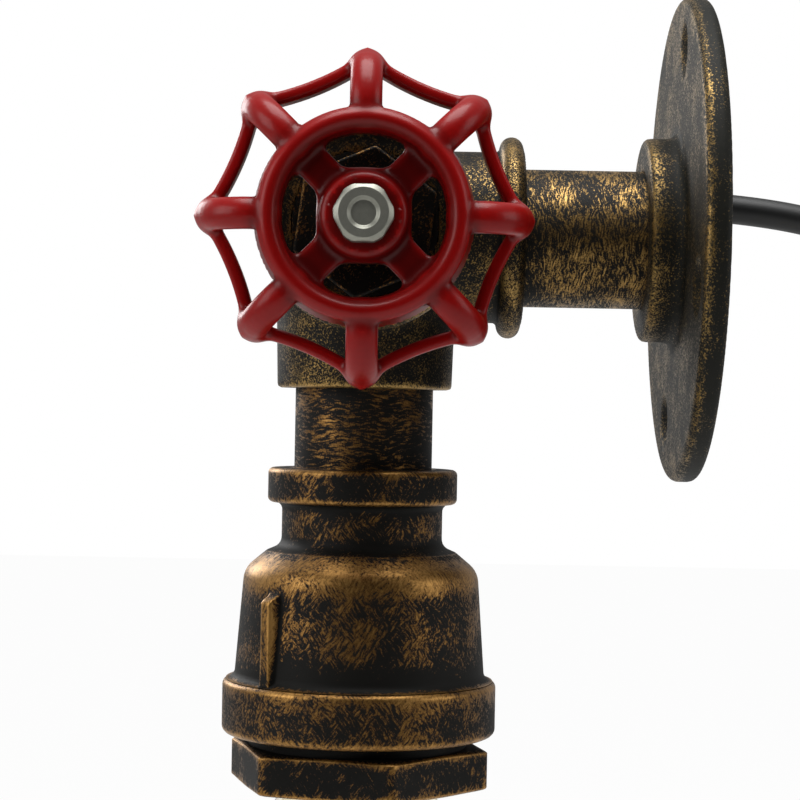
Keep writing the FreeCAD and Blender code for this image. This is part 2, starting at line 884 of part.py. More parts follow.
def make_hanger():
    washer = turned("hanger_washer", [
        (S.stud_radius + S.thread_gap, -hanger_seat),
        (S.pipe_radius, -hanger_seat),
        (S.pipe_radius, -drop_nipple_end),
        (S.stud_radius + S.thread_gap, -drop_nipple_end),
    ])
    place(washer, y=-S.reach)
    stud_bottom = -(wiring_top - S.stud_recess)
    stud = turned("hollow_stud", [
        (S.stud_bore_radius, stud_bottom),
        (S.stud_radius, stud_bottom),
        (S.stud_radius, -(drop_nipple_end - S.stud_rise)),
        (S.stud_bore_radius, -(drop_nipple_end - S.stud_rise)),
    ])
    place(stud, y=-S.reach)
    bore = S.stud_radius + S.thread_gap
    tag_top = -(drop_nipple_end - S.tag_thickness)
    upper = hex_nut("upper_stud_nut", S.stud_nut_across, S.stud_nut_height, bore, tag_top)
    place(upper, y=-S.reach)
    lower = hex_nut("lower_stud_nut", S.stud_nut_across, S.stud_nut_height, bore, -holder_top)
    place(lower, y=-S.reach)
    tag = turned("earth_tag", [
        (bore, -drop_nipple_end),
        (S.tag_radius, -drop_nipple_end),
        (S.tag_radius, tag_top),
        (bore, tag_top),
    ])
    lug = outline(new_sketch(tag, "TagLug", "XZ_Plane"), [
        (S.tag_radius - S.tag_thickness, -drop_nipple_end),
        (S.tag_radius + S.tag_thickness, -drop_nipple_end),
        (S.tag_radius + S.tag_thickness, -(drop_nipple_end - S.tag_lug)),
        (S.tag_radius, -(drop_nipple_end - S.tag_lug)),
        (S.tag_radius, tag_top),
        (S.tag_radius - S.tag_thickness, tag_top),
    ])
    pad(tag, lug, S.tag_lug, both_ways=True)
    place(tag, y=-S.reach, turn=about_z(90))


def make_lampholder():
    bottom = holder_top + S.holder_length
    holder = turned("lampholder_body", [
        (S.stud_radius + S.thread_gap, -holder_top),
        (S.holder_neck_radius, -holder_top),
        (S.holder_neck_radius, -(holder_top + S.holder_neck_height)),
        (S.holder_radius, -(holder_top + S.holder_neck_height + S.holder_dome), -S.holder_radius),
        (S.holder_radius, -bottom),
        (holder_bore_radius, -bottom),
        (holder_bore_radius, -block_top),
        (S.wiring_radius, -block_top),
        (S.wiring_radius, -(wiring_top + S.wiring_slope)),
        (S.wiring_throat, -wiring_top),
        (S.stud_radius + S.thread_gap, -wiring_top),
    ])
    place(holder, y=-S.reach)
    block = turned("contact_block", [
        (0, -block_bottom),
        (shell_radius, -block_bottom),
        (shell_radius, -block_top),
        (0, -block_top),
    ])
    place(block, y=-S.reach)
    lip_bottom = -(block_bottom + S.shell_thickness)
    shell_bottom = -(block_bottom + S.shell_length)
    shell = turned("screw_shell", [
        (shell_radius - S.shell_lip, -block_bottom),
        (shell_radius, -block_bottom),
        (shell_radius, shell_bottom),
        (shell_radius - S.shell_thickness, shell_bottom),
        (shell_radius - S.shell_thickness, lip_bottom),
        (shell_radius - S.shell_lip, lip_bottom),
    ])
    place(shell, y=-S.reach)
    strip = new_body("centre_contact")
    pad(strip, outline(new_sketch(strip, "ContactStrip", "XZ_Plane"), [
        (-S.contact_width, -(block_bottom + S.contact_strip)),
        (S.contact_width, -(block_bottom + S.contact_strip)),
        (S.contact_width, -block_bottom),
        (-S.contact_width, -block_bottom),
    ]), S.contact_width, both_ways=True)
    place(strip, y=-S.reach)
    for label, side in (("live_terminal", 1), ("neutral_terminal", -1)):
        terminal = turned(label, [
            (0, -block_top),
            (S.terminal_radius, -block_top),
            (S.terminal_radius, -(block_top - S.terminal_height)),
            (0, -(block_top - S.terminal_height)),
        ])
        place(terminal, x=S.terminal_offset * side, y=-S.reach)


# ---------------------------------------------------------------- bulb

def below_cap(drop):
    """Height of a drop measured from the bulb's own level, a little below its cap."""
    return -(cap_bottom + S.bulb_level + drop)


def make_bulb_base():
    inner = cap_radius - S.cap_wall
    shoulder = button_top + S.cap_shoulder
    cap = turned("bulb_cap", [
        (inner, -cap_bottom),
        (cap_radius, -cap_bottom),
        (cap_radius, -(shoulder + S.cap_curl)),
        (cap_radius - S.cap_curl, -shoulder),
        (inner - S.cap_curl, -shoulder),
        (inner, -(shoulder + S.cap_curl)),
    ])
    place(cap, y=-S.reach)
    button_bottom = button_top + S.button_height
    insulator = turned("cap_insulator", [
        (S.pin_radius + S.thread_gap, -button_bottom),
        (S.button_radius + S.cap_wall, -button_bottom),
        (inner - S.cap_curl - S.thread_gap, -shoulder),
        (inner - S.cap_curl - S.thread_gap, -(button_bottom + S.insulator_depth)),
        (S.pin_radius + S.thread_gap, -(button_bottom + S.insulator_depth)),
    ])
    place(insulator, y=-S.reach)
    pin_end = button_bottom + S.pin_length
    button = turned("cap_contact", [
        (0, -pin_end),
        (S.pin_radius, -pin_end),
        (S.pin_radius, -button_bottom),
        (S.button_radius, -button_bottom),
        (S.button_radius - S.button_height / 2, -button_top),
        (0, -button_top),
    ])
    place(button, y=-S.reach)
    board = new_body("driver_board")
    half = S.board_width / 2
    pad(board, outline(new_sketch(board, "Board", "XZ_Plane"), [
        (-half, -(pin_end + S.board_height)),
        (half, -(pin_end + S.board_height)),
        (half, -pin_end),
        (-half, -pin_end),
    ]), S.board_thickness, both_ways=True)
    place(board, y=-S.reach)
    return pin_end + S.board_height


def make_bulb_glass():
    """The pear-shaped envelope: rounded shoulder, straight flanks, round base and sealed nib."""
    wall = S.glass_wall
    body = turned("bulb_glass", [
        (S.glass_neck_radius, -(cap_bottom - S.glass_seat)),
        (S.glass_neck_radius, -cap_bottom),
        (S.throat_radius, below_cap(S.throat_drop)),
        (S.shoulder_radius, below_cap(S.shoulder_drop), -S.shoulder_drop * 1.6),
        (S.flank_radius, below_cap(S.flank_drop)),
        (S.glass_radius, below_cap(S.belly_drop), -S.glass_radius * 3),
        (S.base_radius, below_cap(S.base_drop), -S.base_bend),
        (S.nib_radius, below_cap(S.nib_drop), S.base_bend),
        (0, below_cap(S.tip_drop), -dome(S.nib_radius, S.tip_drop - S.nib_drop)),
        (0, below_cap(S.base_drop)),
        (S.base_radius - wall, below_cap(S.base_drop - wall), dome(S.base_radius - wall, wall)),
        (S.glass_radius - wall, below_cap(S.belly_drop), S.base_bend - wall),
        (S.flank_radius - wall, below_cap(S.flank_drop), S.glass_radius * 3),
        (S.shoulder_radius - wall, below_cap(S.shoulder_drop + wall)),
        (S.throat_radius - wall, below_cap(S.throat_drop + wall), S.shoulder_drop * 1.6),
        (S.glass_neck_radius - wall, -cap_bottom),
        (S.glass_neck_radius - wall, -(cap_bottom - S.glass_seat)),
    ])
    place(body, y=-S.reach)


def make_glass_stem():
    wall = S.stem_wall
    top = cap_bottom - S.glass_seat
    rim = S.glass_neck_radius - S.glass_wall - S.thread_gap
    body = turned("glass_stem", [
        (rim - wall, -top),
        (rim, -top),
        (S.stem_radius, below_cap(S.stem_flare_drop)),
        (S.stem_radius, below_cap(S.stem_tube_drop)),
        (S.pinch_radius, below_cap(S.pinch_drop)),
        (S.rod_radius, below_cap(S.pinch_drop)),
        (S.rod_radius, below_cap(S.rod_drop)),
        (S.rod_bead_radius, below_cap(S.bead_drop - S.rod_bead_radius)),
        (0, below_cap(S.bead_drop), -S.rod_bead_radius),
        (0, below_cap(S.stem_tube_drop)),
        (S.stem_radius - wall, below_cap(S.stem_tube_drop - wall)),
        (S.stem_radius - wall, below_cap(S.stem_flare_drop)),
    ])
    place(body, y=-S.reach)


def make_filaments():
    """Lamp filaments leaning in from the upper to the lower wire spider."""
    rise = S.filament_bottom_drop - S.filament_top_drop
    lean = S.filament_top_radius - S.filament_bottom_radius
    tilt = math.atan2(lean.value, rise.value)
    length = math.hypot(lean.value, rise.value)
    for number in range(FILAMENTS):
        angle = S.filament_turn.value + number * 360 / FILAMENTS
        item = doc.addObject("Part::Cylinder", f"led_filament_{number + 1}")
        item.Label = f"led_filament_{number + 1}"
        item.setExpression("Radius", S.filament_radius.text)
        item.Height = length
        turn = about_z(angle).multiply(FreeCAD.Rotation(FreeCAD.Vector(0, 1, 0), math.degrees(tilt)))
        aim = math.radians(angle)
        place(item, x=S.filament_bottom_radius * math.cos(aim),
              y=S.filament_bottom_radius * math.sin(aim) - S.reach,
              z=below_cap(S.filament_bottom_drop), turn=turn)
        parts.append(item)


def make_spider(label, radius, level, reach_past):
    """A wire star: a small collar round the stem's rod and one wire to each filament."""
    body = turned(label, [
        (S.rod_radius, level),
        (S.spider_hub_radius, level),
        (S.spider_hub_radius, level + S.spider_wire),
        (S.rod_radius, level + S.spider_wire),
    ])
    wire = outline(new_sketch(body, label + "Wire", "XZ_Plane"), [
        (S.rod_radius, level),
        (radius + reach_past, level),
        (radius + reach_past, level + S.spider_wire),
        (S.rod_radius, level + S.spider_wire),
    ])
    around(body, [pad(body, wire, S.spider_wire, both_ways=True)], FILAMENTS)
    place(body, y=-S.reach, turn=about_z(S.filament_turn.value))


def bent_wire(label, points, radius):
    """A round wire of straight runs with a ball at each knee."""
    spots = [FreeCAD.Vector(*point) for point in points]
    runs = [Part.makeCylinder(radius, (b - a).Length, a, b - a) for a, b in zip(spots, spots[1:])]
    knees = [Part.makeSphere(radius, spot) for spot in spots[1:-1]]
    return shaped(label, runs[0].fuse(runs[1:] + knees).removeSplitter())


def make_lead_wires(board_bottom):
    """The live lead ends on the upper spider; the neutral one passes it to reach the lower."""
    y = -S.reach.value
    top = -board_bottom.value
    spread = S.lead_spread.value
    pinch = S.rod_radius.value
    pinch_level = below_cap(S.stem_tube_drop).value
    hub = S.rod_radius.value + 2 * S.lead_radius.value
    clear = S.spider_hub_radius.value + 2 * S.lead_radius.value
    upper = below_cap(S.filament_top_drop).value + S.spider_wire.value * 1.5
    lower = below_cap(S.filament_bottom_drop).value
    radius = S.lead_radius.value
    bent_wire("live_lead", [(spread, y, top), (pinch, y, pinch_level), (hub, y, upper)], radius)
    bent_wire("neutral_lead", [
        (-spread, y, top),
        (-pinch, y, pinch_level),
        (-clear, y, upper),
        (-hub, y, lower),
    ], radius)


def make_bulb():
    board_bottom = make_bulb_base()
    make_bulb_glass()
    make_glass_stem()
    make_filaments()
    wire = S.spider_wire
    lift = S.filament_radius * (S.filament_top_radius - S.filament_bottom_radius) \
        / (S.filament_bottom_drop - S.filament_top_drop)
    upper = below_cap(S.filament_top_drop) + lift
    lower = below_cap(S.filament_bottom_drop) - lift - wire
    make_spider("upper_spider", S.filament_top_radius, upper, wire)
    make_spider("lower_spider", S.filament_bottom_radius, lower, wire)
    make_lead_wires(board_bottom)


# ---------------------------------------------------------------- wiring

def rounded_route(points):
    """Straight runs joined by arcs as large as the runs beside each corner allow."""
    spots = [FreeCAD.Vector(*point) for point in points]
    pieces, radii, cursor = [], [], spots[0]
    for before, corner, after in zip(spots, spots[1:], spots[2:]):
        back, ahead = before - corner, after - corner
        turn = math.pi - back.getAngle(ahead)
        setback = 0.45 * min(back.Length, ahead.Length)
        radius = setback / math.tan(turn / 2)
        start = corner + back.normalize() * setback
        end = corner + ahead.normalize() * setback
        bisector = (back + ahead).normalize()
        middle = corner + bisector * (math.hypot(radius, setback) - radius)
        pieces.append(Part.LineSegment(cursor, start).toShape())
        pieces.append(Part.Arc(start, middle, end).toShape())
        radii.append(radius)
        cursor = end
    pieces.append(Part.LineSegment(cursor, spots[-1]).toShape())
    return Part.Wire(pieces), radii


def tube(label, points, radius):
    """A round flex along a rounded route; its volume is checked against section times length."""
    wire, radii = rounded_route(points)
    direction = FreeCAD.Vector(*points[1]) - FreeCAD.Vector(*points[0])
    ring = Part.Wire(Part.makeCircle(radius, FreeCAD.Vector(*points[0]), direction))
    solid = wire.makePipeShell([ring], True, True)
    expected = math.pi * radius ** 2 * wire.Length
    if abs(solid.Volume / expected - 1) > 0.01:
        raise RuntimeError(f"{label}: volume {solid.Volume:.1f}, expected {expected:.1f}")
    print(f"{label}: {wire.Length:.1f} mm, radii {[round(bend, 1) for bend in radii]}")
    return shaped(label, solid)


def make_flex():
    reach = S.reach.value
    exit_height = S.flex_exit_height.value
    tube("inner_flex", [
        (0.0, -reach, -S.sheath_end.value),
        (0.0, -reach, -14.0),
        (0.0, 14.0 - reach, 0.0),
        (0.0, -32.0, 1.6),
        (0.0, -14.0, exit_height + 0.77),
        (0.0, 0.0, exit_height),
    ], S.flex_radius.value)
    tube("mains_cord", TAIL_ROUTE, S.flex_radius.value)


def make_cores():
    """Live and neutral down the hollow stud to the terminals, earth to its tag."""
    reach = S.reach.value
    spread = S.core_spread.value
    radius = S.core_radius.value
    start = -S.sheath_end.value
    terminal_top = -(block_top - S.terminal_height).value
    for label, side in (("live_core", 1), ("neutral_core", -1)):
        tube(label, [
            (side * spread, -reach, start),
            (side * spread, -reach, -wiring_top.value - radius / 2),
            (side * S.terminal_offset.value, -reach, terminal_top + radius),
        ], radius)
    tag = (S.tag_radius + S.tag_thickness / 2).value
    tag_top = -(drop_nipple_end - S.tag_lug).value
    tube("earth_core", [
        (0.0, spread - reach, start),
        (0.0, spread - reach, start - 3.6),
        (0.0, tag - reach, tag_top + 4.0),
        (0.0, tag - reach, tag_top),
    ], radius)


def make_tail_cores():
    """Three stripped cores that stand out of the tail's end."""
    last = FreeCAD.Vector(*TAIL_ROUTE[-1])
    along = (last - FreeCAD.Vector(*TAIL_ROUTE[-2])).normalize()
    cross = along.cross(FreeCAD.Vector(1, 0, 0)).normalize()
    side = cross.cross(along)
    wires = []
    for number in range(3):
        angle = math.radians(90 + 120 * number)
        offset = (side * math.cos(angle) + cross * math.sin(angle)) * S.core_spread.value
        wires.append(Part.makeCylinder(S.core_radius.value, S.tail_core_length.value, last + offset, along))
    shaped("tail_cores", Part.makeCompound(wires))


# ---------------------------------------------------------------- build, check, export

def check(item):
    bad = [state for state in item.State if state in ("Invalid", "Error")]
    if bad:
        raise RuntimeError(f"{item.Label}: {bad}")


def export():
    doc.recompute()
    for item in doc.Objects:
        check(item)
    for item in parts:
        if item.Shape.isNull() or not item.Shape.isValid():
            raise RuntimeError(f"{item.Label}: shape is null or not valid")
    os.makedirs("parts", exist_ok=True)
    for item in parts:
        item.Shape.exportStep(f"parts/{item.Label}.step")
        print(f"{item.Label}: {len(item.Shape.Solids)} solid, {item.Shape.Volume:.1f} mm3")


make_wall_flange()
make_nipples()
make_elbow()
make_port_plug()
make_washer()
make_bolt_and_nut()
make_handwheel()
make_reducing_socket()
make_hex_bush()
make_hanger()
make_lampholder()
make_bulb()
make_flex()
make_cores()
make_tail_cores()
export()
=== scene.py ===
"""Finishes and fine forms of an industrial pipe wall light.

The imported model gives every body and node. This script dresses them: cast, dry-brushed
iron fittings, a red enamelled handwheel, an amber filament bulb and a black cord.
Lengths in the classes are millimetres, turned to metres by one function.
"""

from __future__ import annotations

import logging
import math
from dataclasses import dataclass, field
from enum import Enum
from typing import Callable, Sequence

import bmesh
import bpy
import numpy as np
from mathutils import Matrix, Vector


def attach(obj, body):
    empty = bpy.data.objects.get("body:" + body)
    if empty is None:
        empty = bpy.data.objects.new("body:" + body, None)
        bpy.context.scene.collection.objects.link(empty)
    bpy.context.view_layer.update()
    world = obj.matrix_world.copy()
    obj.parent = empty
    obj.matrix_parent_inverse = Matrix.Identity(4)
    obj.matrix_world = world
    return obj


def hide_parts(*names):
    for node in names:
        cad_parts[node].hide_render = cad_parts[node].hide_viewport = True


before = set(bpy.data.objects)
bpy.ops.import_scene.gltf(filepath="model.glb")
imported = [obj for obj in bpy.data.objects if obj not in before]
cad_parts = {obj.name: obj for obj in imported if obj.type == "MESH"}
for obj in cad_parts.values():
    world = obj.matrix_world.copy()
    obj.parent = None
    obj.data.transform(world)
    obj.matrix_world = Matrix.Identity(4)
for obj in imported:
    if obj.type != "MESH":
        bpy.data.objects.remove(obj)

LOG = logging.getLogger("wall_light")
MM = 0.001
REACH = 63.6

Field = Callable[[np.ndarray], np.ndarray]
Relief = Callable[[np.ndarray, np.ndarray, np.ndarray], np.ndarray]


class Axis(Enum):
    """Which way a piece drawn along its own Z points in the row's frame."""

    TO_ROOM = "to_room"
    TO_WHEEL = "to_wheel"
    DROP = "drop"


def to_row(points: np.ndarray, axis: Axis) -> np.ndarray:
    """Carry local millimetres to the row's frame in metres.

    Args:
        points: Array whose last dimension is local x, y, z in millimetres.
        axis: Where the local Z axis points. To the room, (x, y, z) goes to (x, -z, y);
            to the wheel, to (z, y - reach, -x); down the drop, to (x, y - reach, z).

    Returns:
        The same points in metres.
    """
    x, y, z = points[..., 0], points[..., 1], points[..., 2]
    if axis is Axis.TO_ROOM:
        moved = (x, -z, y)
    elif axis is Axis.TO_WHEEL:
        moved = (z, y - REACH, -x)
    else:
        moved = (x, y - REACH, z)
    return np.stack(moved, axis=-1) * MM


# ------------------------------------------------------------------ meshes from arrays


def lay_mesh(name: str, points: np.ndarray, quads: np.ndarray) -> bpy.types.Object:
    """Put vertices and quads into a new mesh object at the origin.

    Args:
        name: Name of the piece.
        points: Vertices, n by 3, in metres.
        quads: Vertex numbers, m by 4.

    Returns:
        The linked object.
    """
    mesh = bpy.data.meshes.new(name)
    mesh.vertices.add(len(points))
    mesh.vertices.foreach_set("co", points.astype(np.float32).ravel())
    mesh.loops.add(quads.size)
    mesh.loops.foreach_set("vertex_index", quads.astype(np.int32).ravel())
    mesh.polygons.add(len(quads))
    mesh.polygons.foreach_set("loop_start", np.arange(0, quads.size, 4, dtype=np.int32))
    mesh.update(calc_edges=True)
    mesh.validate()
    piece = bpy.data.objects.new(name, mesh)
    bpy.context.scene.collection.objects.link(piece)
    return piece


def grid_quads(rows: int, columns: int, closed_rows: bool, closed_columns: bool) -> np.ndarray:
    """Vertex numbers of the quads of a grid.

    Args:
        rows: Number of points down the grid.
        columns: Number of points across it.
        closed_rows: Whether the last row joins the first.
        closed_columns: Whether the last column joins the first.

    Returns:
        An m by 4 array of vertex numbers.
    """
    row = np.arange(rows if closed_rows else rows - 1)
    column = np.arange(columns if closed_columns else columns - 1)
    low, left = np.meshgrid(row, column, indexing="ij")
    high, right = (low + 1) % rows, (left + 1) % columns
    corners = (low * columns + left, low * columns + right, high * columns + right, high * columns + left)
    return np.stack(corners, axis=-1).reshape(-1, 4)


def tidy_shell(piece: bpy.types.Object, sharp_degrees: float = 50.0) -> None:
    """Merge doubles, turn every face outwards and shade smooth between sharp edges.

    Args:
        piece: The mesh object.
        sharp_degrees: Faces that meet at more than this stay crisp.
    """
    shell = bmesh.new()
    shell.from_mesh(piece.data)
    bmesh.ops.remove_doubles(shell, verts=shell.verts, dist=0.002 * MM)
    bmesh.ops.recalc_face_normals(shell, faces=shell.faces)
    shell.to_mesh(piece.data)
    shell.free()
    piece.data.shade_smooth()
    piece.data.set_sharp_from_angle(angle=math.radians(sharp_degrees))


def store_wear_and_painted_light(piece: bpy.types.Object, gain: float = 2.4, rounds: int = 3,
               extra_wear_and_painted_light: Field | None = None) -> None:
    """Store how convex the surface is at each vertex, for rubbed edges and dark hollows (painted shade on
    the enamel), plus any extra wear and painted light.

    Along each mesh edge the bend is n . (p - q) / |p - q|^2, in 1/mm; a vertex takes the
    mean over its edges, averaged with its neighbours, times the gain and held to +-1.

    Args:
        piece: The mesh object.
        gain: Millimetres of radius at which a rounded edge counts as fully worn.
        rounds: How often the values are averaged with their neighbours.
        extra_wear_and_painted_light: Extra value at row points in millimetres: more wear where the brush
            went over more, and painted highlight and painted shade on some pieces.
    """
    mesh = piece.data
    count = len(mesh.vertices)
    points = np.empty(count * 3, dtype=np.float32)
    normals = np.empty(count * 3, dtype=np.float32)
    edges = np.empty(len(mesh.edges) * 2, dtype=np.int32)
    mesh.vertices.foreach_get("co", points)
    mesh.vertices.foreach_get("normal", normals)
    mesh.edges.foreach_get("vertices", edges)
    points, normals = points.reshape(-1, 3) / MM, normals.reshape(-1, 3)
    one, other = edges.reshape(-1, 2).T
    gap = points[one] - points[other]
    square = np.maximum(np.sum(gap * gap, axis=1), 1e-4)
    degree = np.maximum(np.bincount(one, minlength=count) + np.bincount(other, minlength=count), 1)
    bend = np.bincount(one, np.sum(normals[one] * gap, axis=1) / square, count)
    bend -= np.bincount(other, np.sum(normals[other] * gap, axis=1) / square, count)
    wear_and_painted_light = bend / degree
    for _ in range(rounds):
        near = np.bincount(one, wear_and_painted_light[other], count) + np.bincount(other, wear_and_painted_light[one], count)
        wear_and_painted_light = 0.5 * wear_and_painted_light + 0.5 * near / degree
    wear_and_painted_light = wear_and_painted_light * gain
    if extra_wear_and_painted_light is not None:
        wear_and_painted_light += extra_wear_and_painted_light(points)
    layer = mesh.attributes.new("wear_and_painted_light", "FLOAT", "POINT")
    layer.data.foreach_set("value", np.clip(wear_and_painted_light, -1.0, 1.0).astype(np.float32))


# ------------------------------------------------------------------ turned forms


def rounded(corners: Sequence[tuple[float, ...]], steps: int = 6, run: float = 1.0,
            closed: bool = True) -> np.ndarray:
    """Profile through corners, with arcs of the given radii and evenly divided runs.

    An arc of radius f at a corner with half angle a starts f / tan(a) before it.

    Args:
        corners: (radius, height) or (radius, height, arc radius), in millimetres.
        steps: Points on each arc.
        run: Longest straight step.
        closed: Whether the last corner joins the first.

    Returns:
        Profile points, n by 2.
    """
    spots = np.array([corner[:2] for corner in corners], dtype=float)
    arcs = [corner[2] if len(corner) > 2 else 0.0 for corner in corners]
    count = len(spots)
    track: list[np.ndarray] = []
    for index, radius in enumerate(arcs):
        spot = spots[index]
        if radius <= 0 or (not closed and index in (0, count - 1)):
            track.append(spot[None, :])
            continue
        back, ahead = spots[index - 1] - spot, spots[(index + 1) % count] - spot
        back, ahead = back / np.linalg.norm(back), ahead / np.linalg.norm(ahead)
        half = math.acos(float(np.clip(back @ ahead, -1, 1))) / 2
        middle = (back + ahead) / np.linalg.norm(back + ahead) * radius / math.sin(half)
        start = back * radius / math.tan(half) - middle
        end = ahead * radius / math.tan(half) - middle
        share = np.linspace(0, 1, steps)[:, None]
        blend = start * (1 - share) + end * share
        blend *= radius / np.linalg.norm(blend, axis=1, keepdims=True)
        track.append(spot + middle + blend)
    line = np.concatenate(track)
    if closed:
        line = np.concatenate([line, line[:1]])
    pieces = []
    for first, last in zip(line[:-1], line[1:]):
        parts = max(1, math.ceil(float(np.linalg.norm(last - first)) / run))
        pieces.append(first + (last - first) * (np.arange(parts) / parts)[:, None])
    if not closed:
        pieces.append(line[-1:])
    return np.concatenate(pieces)


def bowed(start: tuple[float, float], end: tuple[float, float], rise: float,
          steps: int = 6) -> np.ndarray:
    """Run between two profile points that stands out by 4 h s (1 - s) at share s of the way.

    Args:
        start: First point, (radius, drop) in millimetres.
        end: Last point.
        rise: The height h of the bow; below nought it is hollow.
        steps: Number of equal steps.

    Returns:
        The points, both ends among them.
    """
    first, run = np.asarray(start, dtype=float), np.subtract(end, start)
    outward = np.array([run[1], -run[0]]) / np.linalg.norm(run)
    share = np.linspace(0, 1, steps + 1)[:, None]
    return first + run * share + outward * (4 * rise * share * (1 - share))


def turn(name: str, profile: np.ndarray, axis: Axis, closed: bool = True, columns: int = 128,
         angles: np.ndarray | None = None, relief: Relief | None = None) -> bpy.types.Object:
    """Turn a profile round its axis: (r cos t, r sin t, z) for every profile point and angle t.

    Args:
        name: Name of the piece.
        profile: Points (radius, height) in millimetres; an open profile ends on the axis.
        axis: Where the turning axis points.
        closed: Whether the profile is a loop.
        columns: Number of even steps round the axis.
        angles: Uneven steps to use instead.
        relief: Changes the radius from (radius, height, angle).

    Returns:
        The finished shell.
    """
    if angles is None:
        angles = np.linspace(0, 2 * math.pi, columns, endpoint=False)
    radius, around = np.meshgrid(profile[:, 0], angles, indexing="ij")
    height = np.repeat(profile[:, 1:2], len(angles), axis=1)
    if relief is not None:
        radius = relief(radius, height, around)
    points = np.stack([radius * np.cos(around), radius * np.sin(around), height], axis=-1)
    quads = grid_quads(len(profile), len(angles), closed, True)
    piece = lay_mesh(name, to_row(points, axis).reshape(-1, 3), quads)
    tidy_shell(piece)
    return piece


def hexagon_radius(across: float, angles: np.ndarray, turn_degrees: float = 0.0,
                   crispness: float = 70.0) -> np.ndarray:
    """Radius of a soft-cornered hexagon: half its flats / (sum of cos(t - t_k)^p)^(1/p).

    Args:
        across: Size across the flats.
        angles: Angles at which the radius is wanted, in radians.
        turn_degrees: Angle of one of its corners.
        crispness: The power p; higher is a sharper corner.

    Returns:
        The radius at each angle.
    """
    flats = math.radians(turn_degrees) + (np.arange(6) + 0.5) * math.pi / 3
    facing = np.maximum(np.cos(angles[..., None] - flats), 1e-6)
    return across / 2 / np.sum(facing**crispness, axis=-1) ** (1 / crispness)


# ------------------------------------------------------------------ cast forms


def merge(one: np.ndarray, other: np.ndarray, blend: float) -> np.ndarray:
    """Smooth union of two distance fields, with a fillet of about the blend size."""
    share = np.clip(0.5 + 0.5 * (other - one) / blend, 0, 1)
    return other * (1 - share) + one * share - blend * share * (1 - share)


def carve(solid: np.ndarray, tool: np.ndarray, blend: float) -> np.ndarray:
    """Smooth difference: the solid without the tool, its rim rounded by the blend size."""
    return -merge(-solid, tool, blend)


def slab(along: np.ndarray, low: float, high: float) -> np.ndarray:
    """Distance to the space between two parallel planes."""
    return np.maximum(low - along, along - high)


def block(p: np.ndarray, q: np.ndarray, span_p: tuple[float, float], span_q: tuple[float, float],
          corner: float) -> np.ndarray:
    """Distance to a rectangle with rounded corners in the (p, q) plane.

    Args:
        p: First coordinate.
        q: Second coordinate.
        span_p: Low and high side in p.
        span_q: Low and high side in q.
        corner: Corner radius.

    Returns:
        The signed distance.
    """
    out_p = np.abs(p - sum(span_p) / 2) - (span_p[1] - span_p[0]) / 2 + corner
    out_q = np.abs(q - sum(span_q) / 2) - (span_q[1] - span_q[0]) / 2 + corner
    outside = np.hypot(np.maximum(out_p, 0), np.maximum(out_q, 0))
    return outside + np.minimum(np.maximum(out_p, out_q), 0) - corner


def skin(name: str, form: Field, low: Sequence[float], high: Sequence[float], cell: float,
         axis: Axis) -> bpy.types.Object:
    """Lay a quad skin on the surface where a distance field is zero.

    One vertex stands in each lattice cell that the surface crosses and one quad on each
    lattice edge that it crosses. The vertices then slide along the gradient g of the
    field f by -f g / |g|^2 until they lie on the surface.

    Args:
        name: Name of the piece.
        form: Signed distance of n by 3 points, in local millimetres.
        low: Lowest corner of the space searched.
        high: Highest corner.
        cell: Lattice step.
        axis: Where the local Z axis points.

    Returns:
        The finished shell.
    """
    axes = [np.arange(a - 2 * cell, b + 3 * cell, cell) for a, b in zip(low, high)]
    lattice = np.stack(np.meshgrid(*axes, indexing="ij"), axis=-1)
    shape = lattice.shape[:3]
    inside = (form(lattice.reshape(-1, 3)) < 0).reshape(shape)
    corners = np.zeros([n - 1 for n in shape], dtype=np.int8)
    for offset in np.ndindex(2, 2, 2):
        corners += inside[tuple(slice(o, o + n - 1) for o, n in zip(offset, shape))]
    busy = (corners > 0) & (corners < 8)
    number = np.full(busy.shape, -1)
    number[busy] = np.arange(int(busy.sum()))
    points = np.array([axis_[0] for axis_ in axes]) + (np.argwhere(busy) + 0.5) * cell
    quads = []
    for run in range(3):
        side, up = (run + 1) % 3, (run + 2) % 3
        first = np.take(inside, range(shape[run] - 1), axis=run)
        second = np.take(inside, range(1, shape[run]), axis=run)
        spot = np.argwhere(first != second)
        ring = []
        for back_side, back_up in ((0, 0), (1, 0), (1, 1), (0, 1)):
            beside = spot.copy()
            beside[:, side] -= back_side
            beside[:, up] -= back_up
            ring.append(number[tuple(beside.T)])
        quad = np.stack(ring, axis=1)
        outward = first[tuple(spot.T)][:, None]
        quads.append(np.where(outward, quad, quad[:, ::-1]))
    nudge = 0.02
    for _ in range(6):
        value = form(points)
        slope = np.empty_like(points)
        for run in range(3):
            step = np.zeros(3)
            step[run] = nudge
            slope[:, run] = (form(points + step) - form(points - step)) / (2 * nudge)
        steep = np.maximum(np.sum(slope * slope, axis=1), 0.05)
        shift = slope * (value / steep)[:, None]
        length = np.maximum(np.linalg.norm(shift, axis=1, keepdims=True), 1e-9)
        points = points - shift * np.minimum(1, 0.6 * cell / length)
    piece = lay_mesh(name, to_row(points, axis), np.concatenate(quads))
    piece.data.shade_smooth()
    piece.data.set_sharp_from_angle(angle=math.radians(60))
    return piece


# ------------------------------------------------------------------ finishes


def linear(colour: str) -> tuple[float, float, float, float]:
    """Turn an sRGB hex colour to linear red, green, blue and alpha."""
    parts = [int(colour[i:i + 2], 16) / 255 for i in (1, 3, 5)]
    curved = [c / 12.92 if c <= 0.04045 else ((c + 0.055) / 1.055) ** 2.4 for c in parts]
    return curved[0], curved[1], curved[2], 1.0


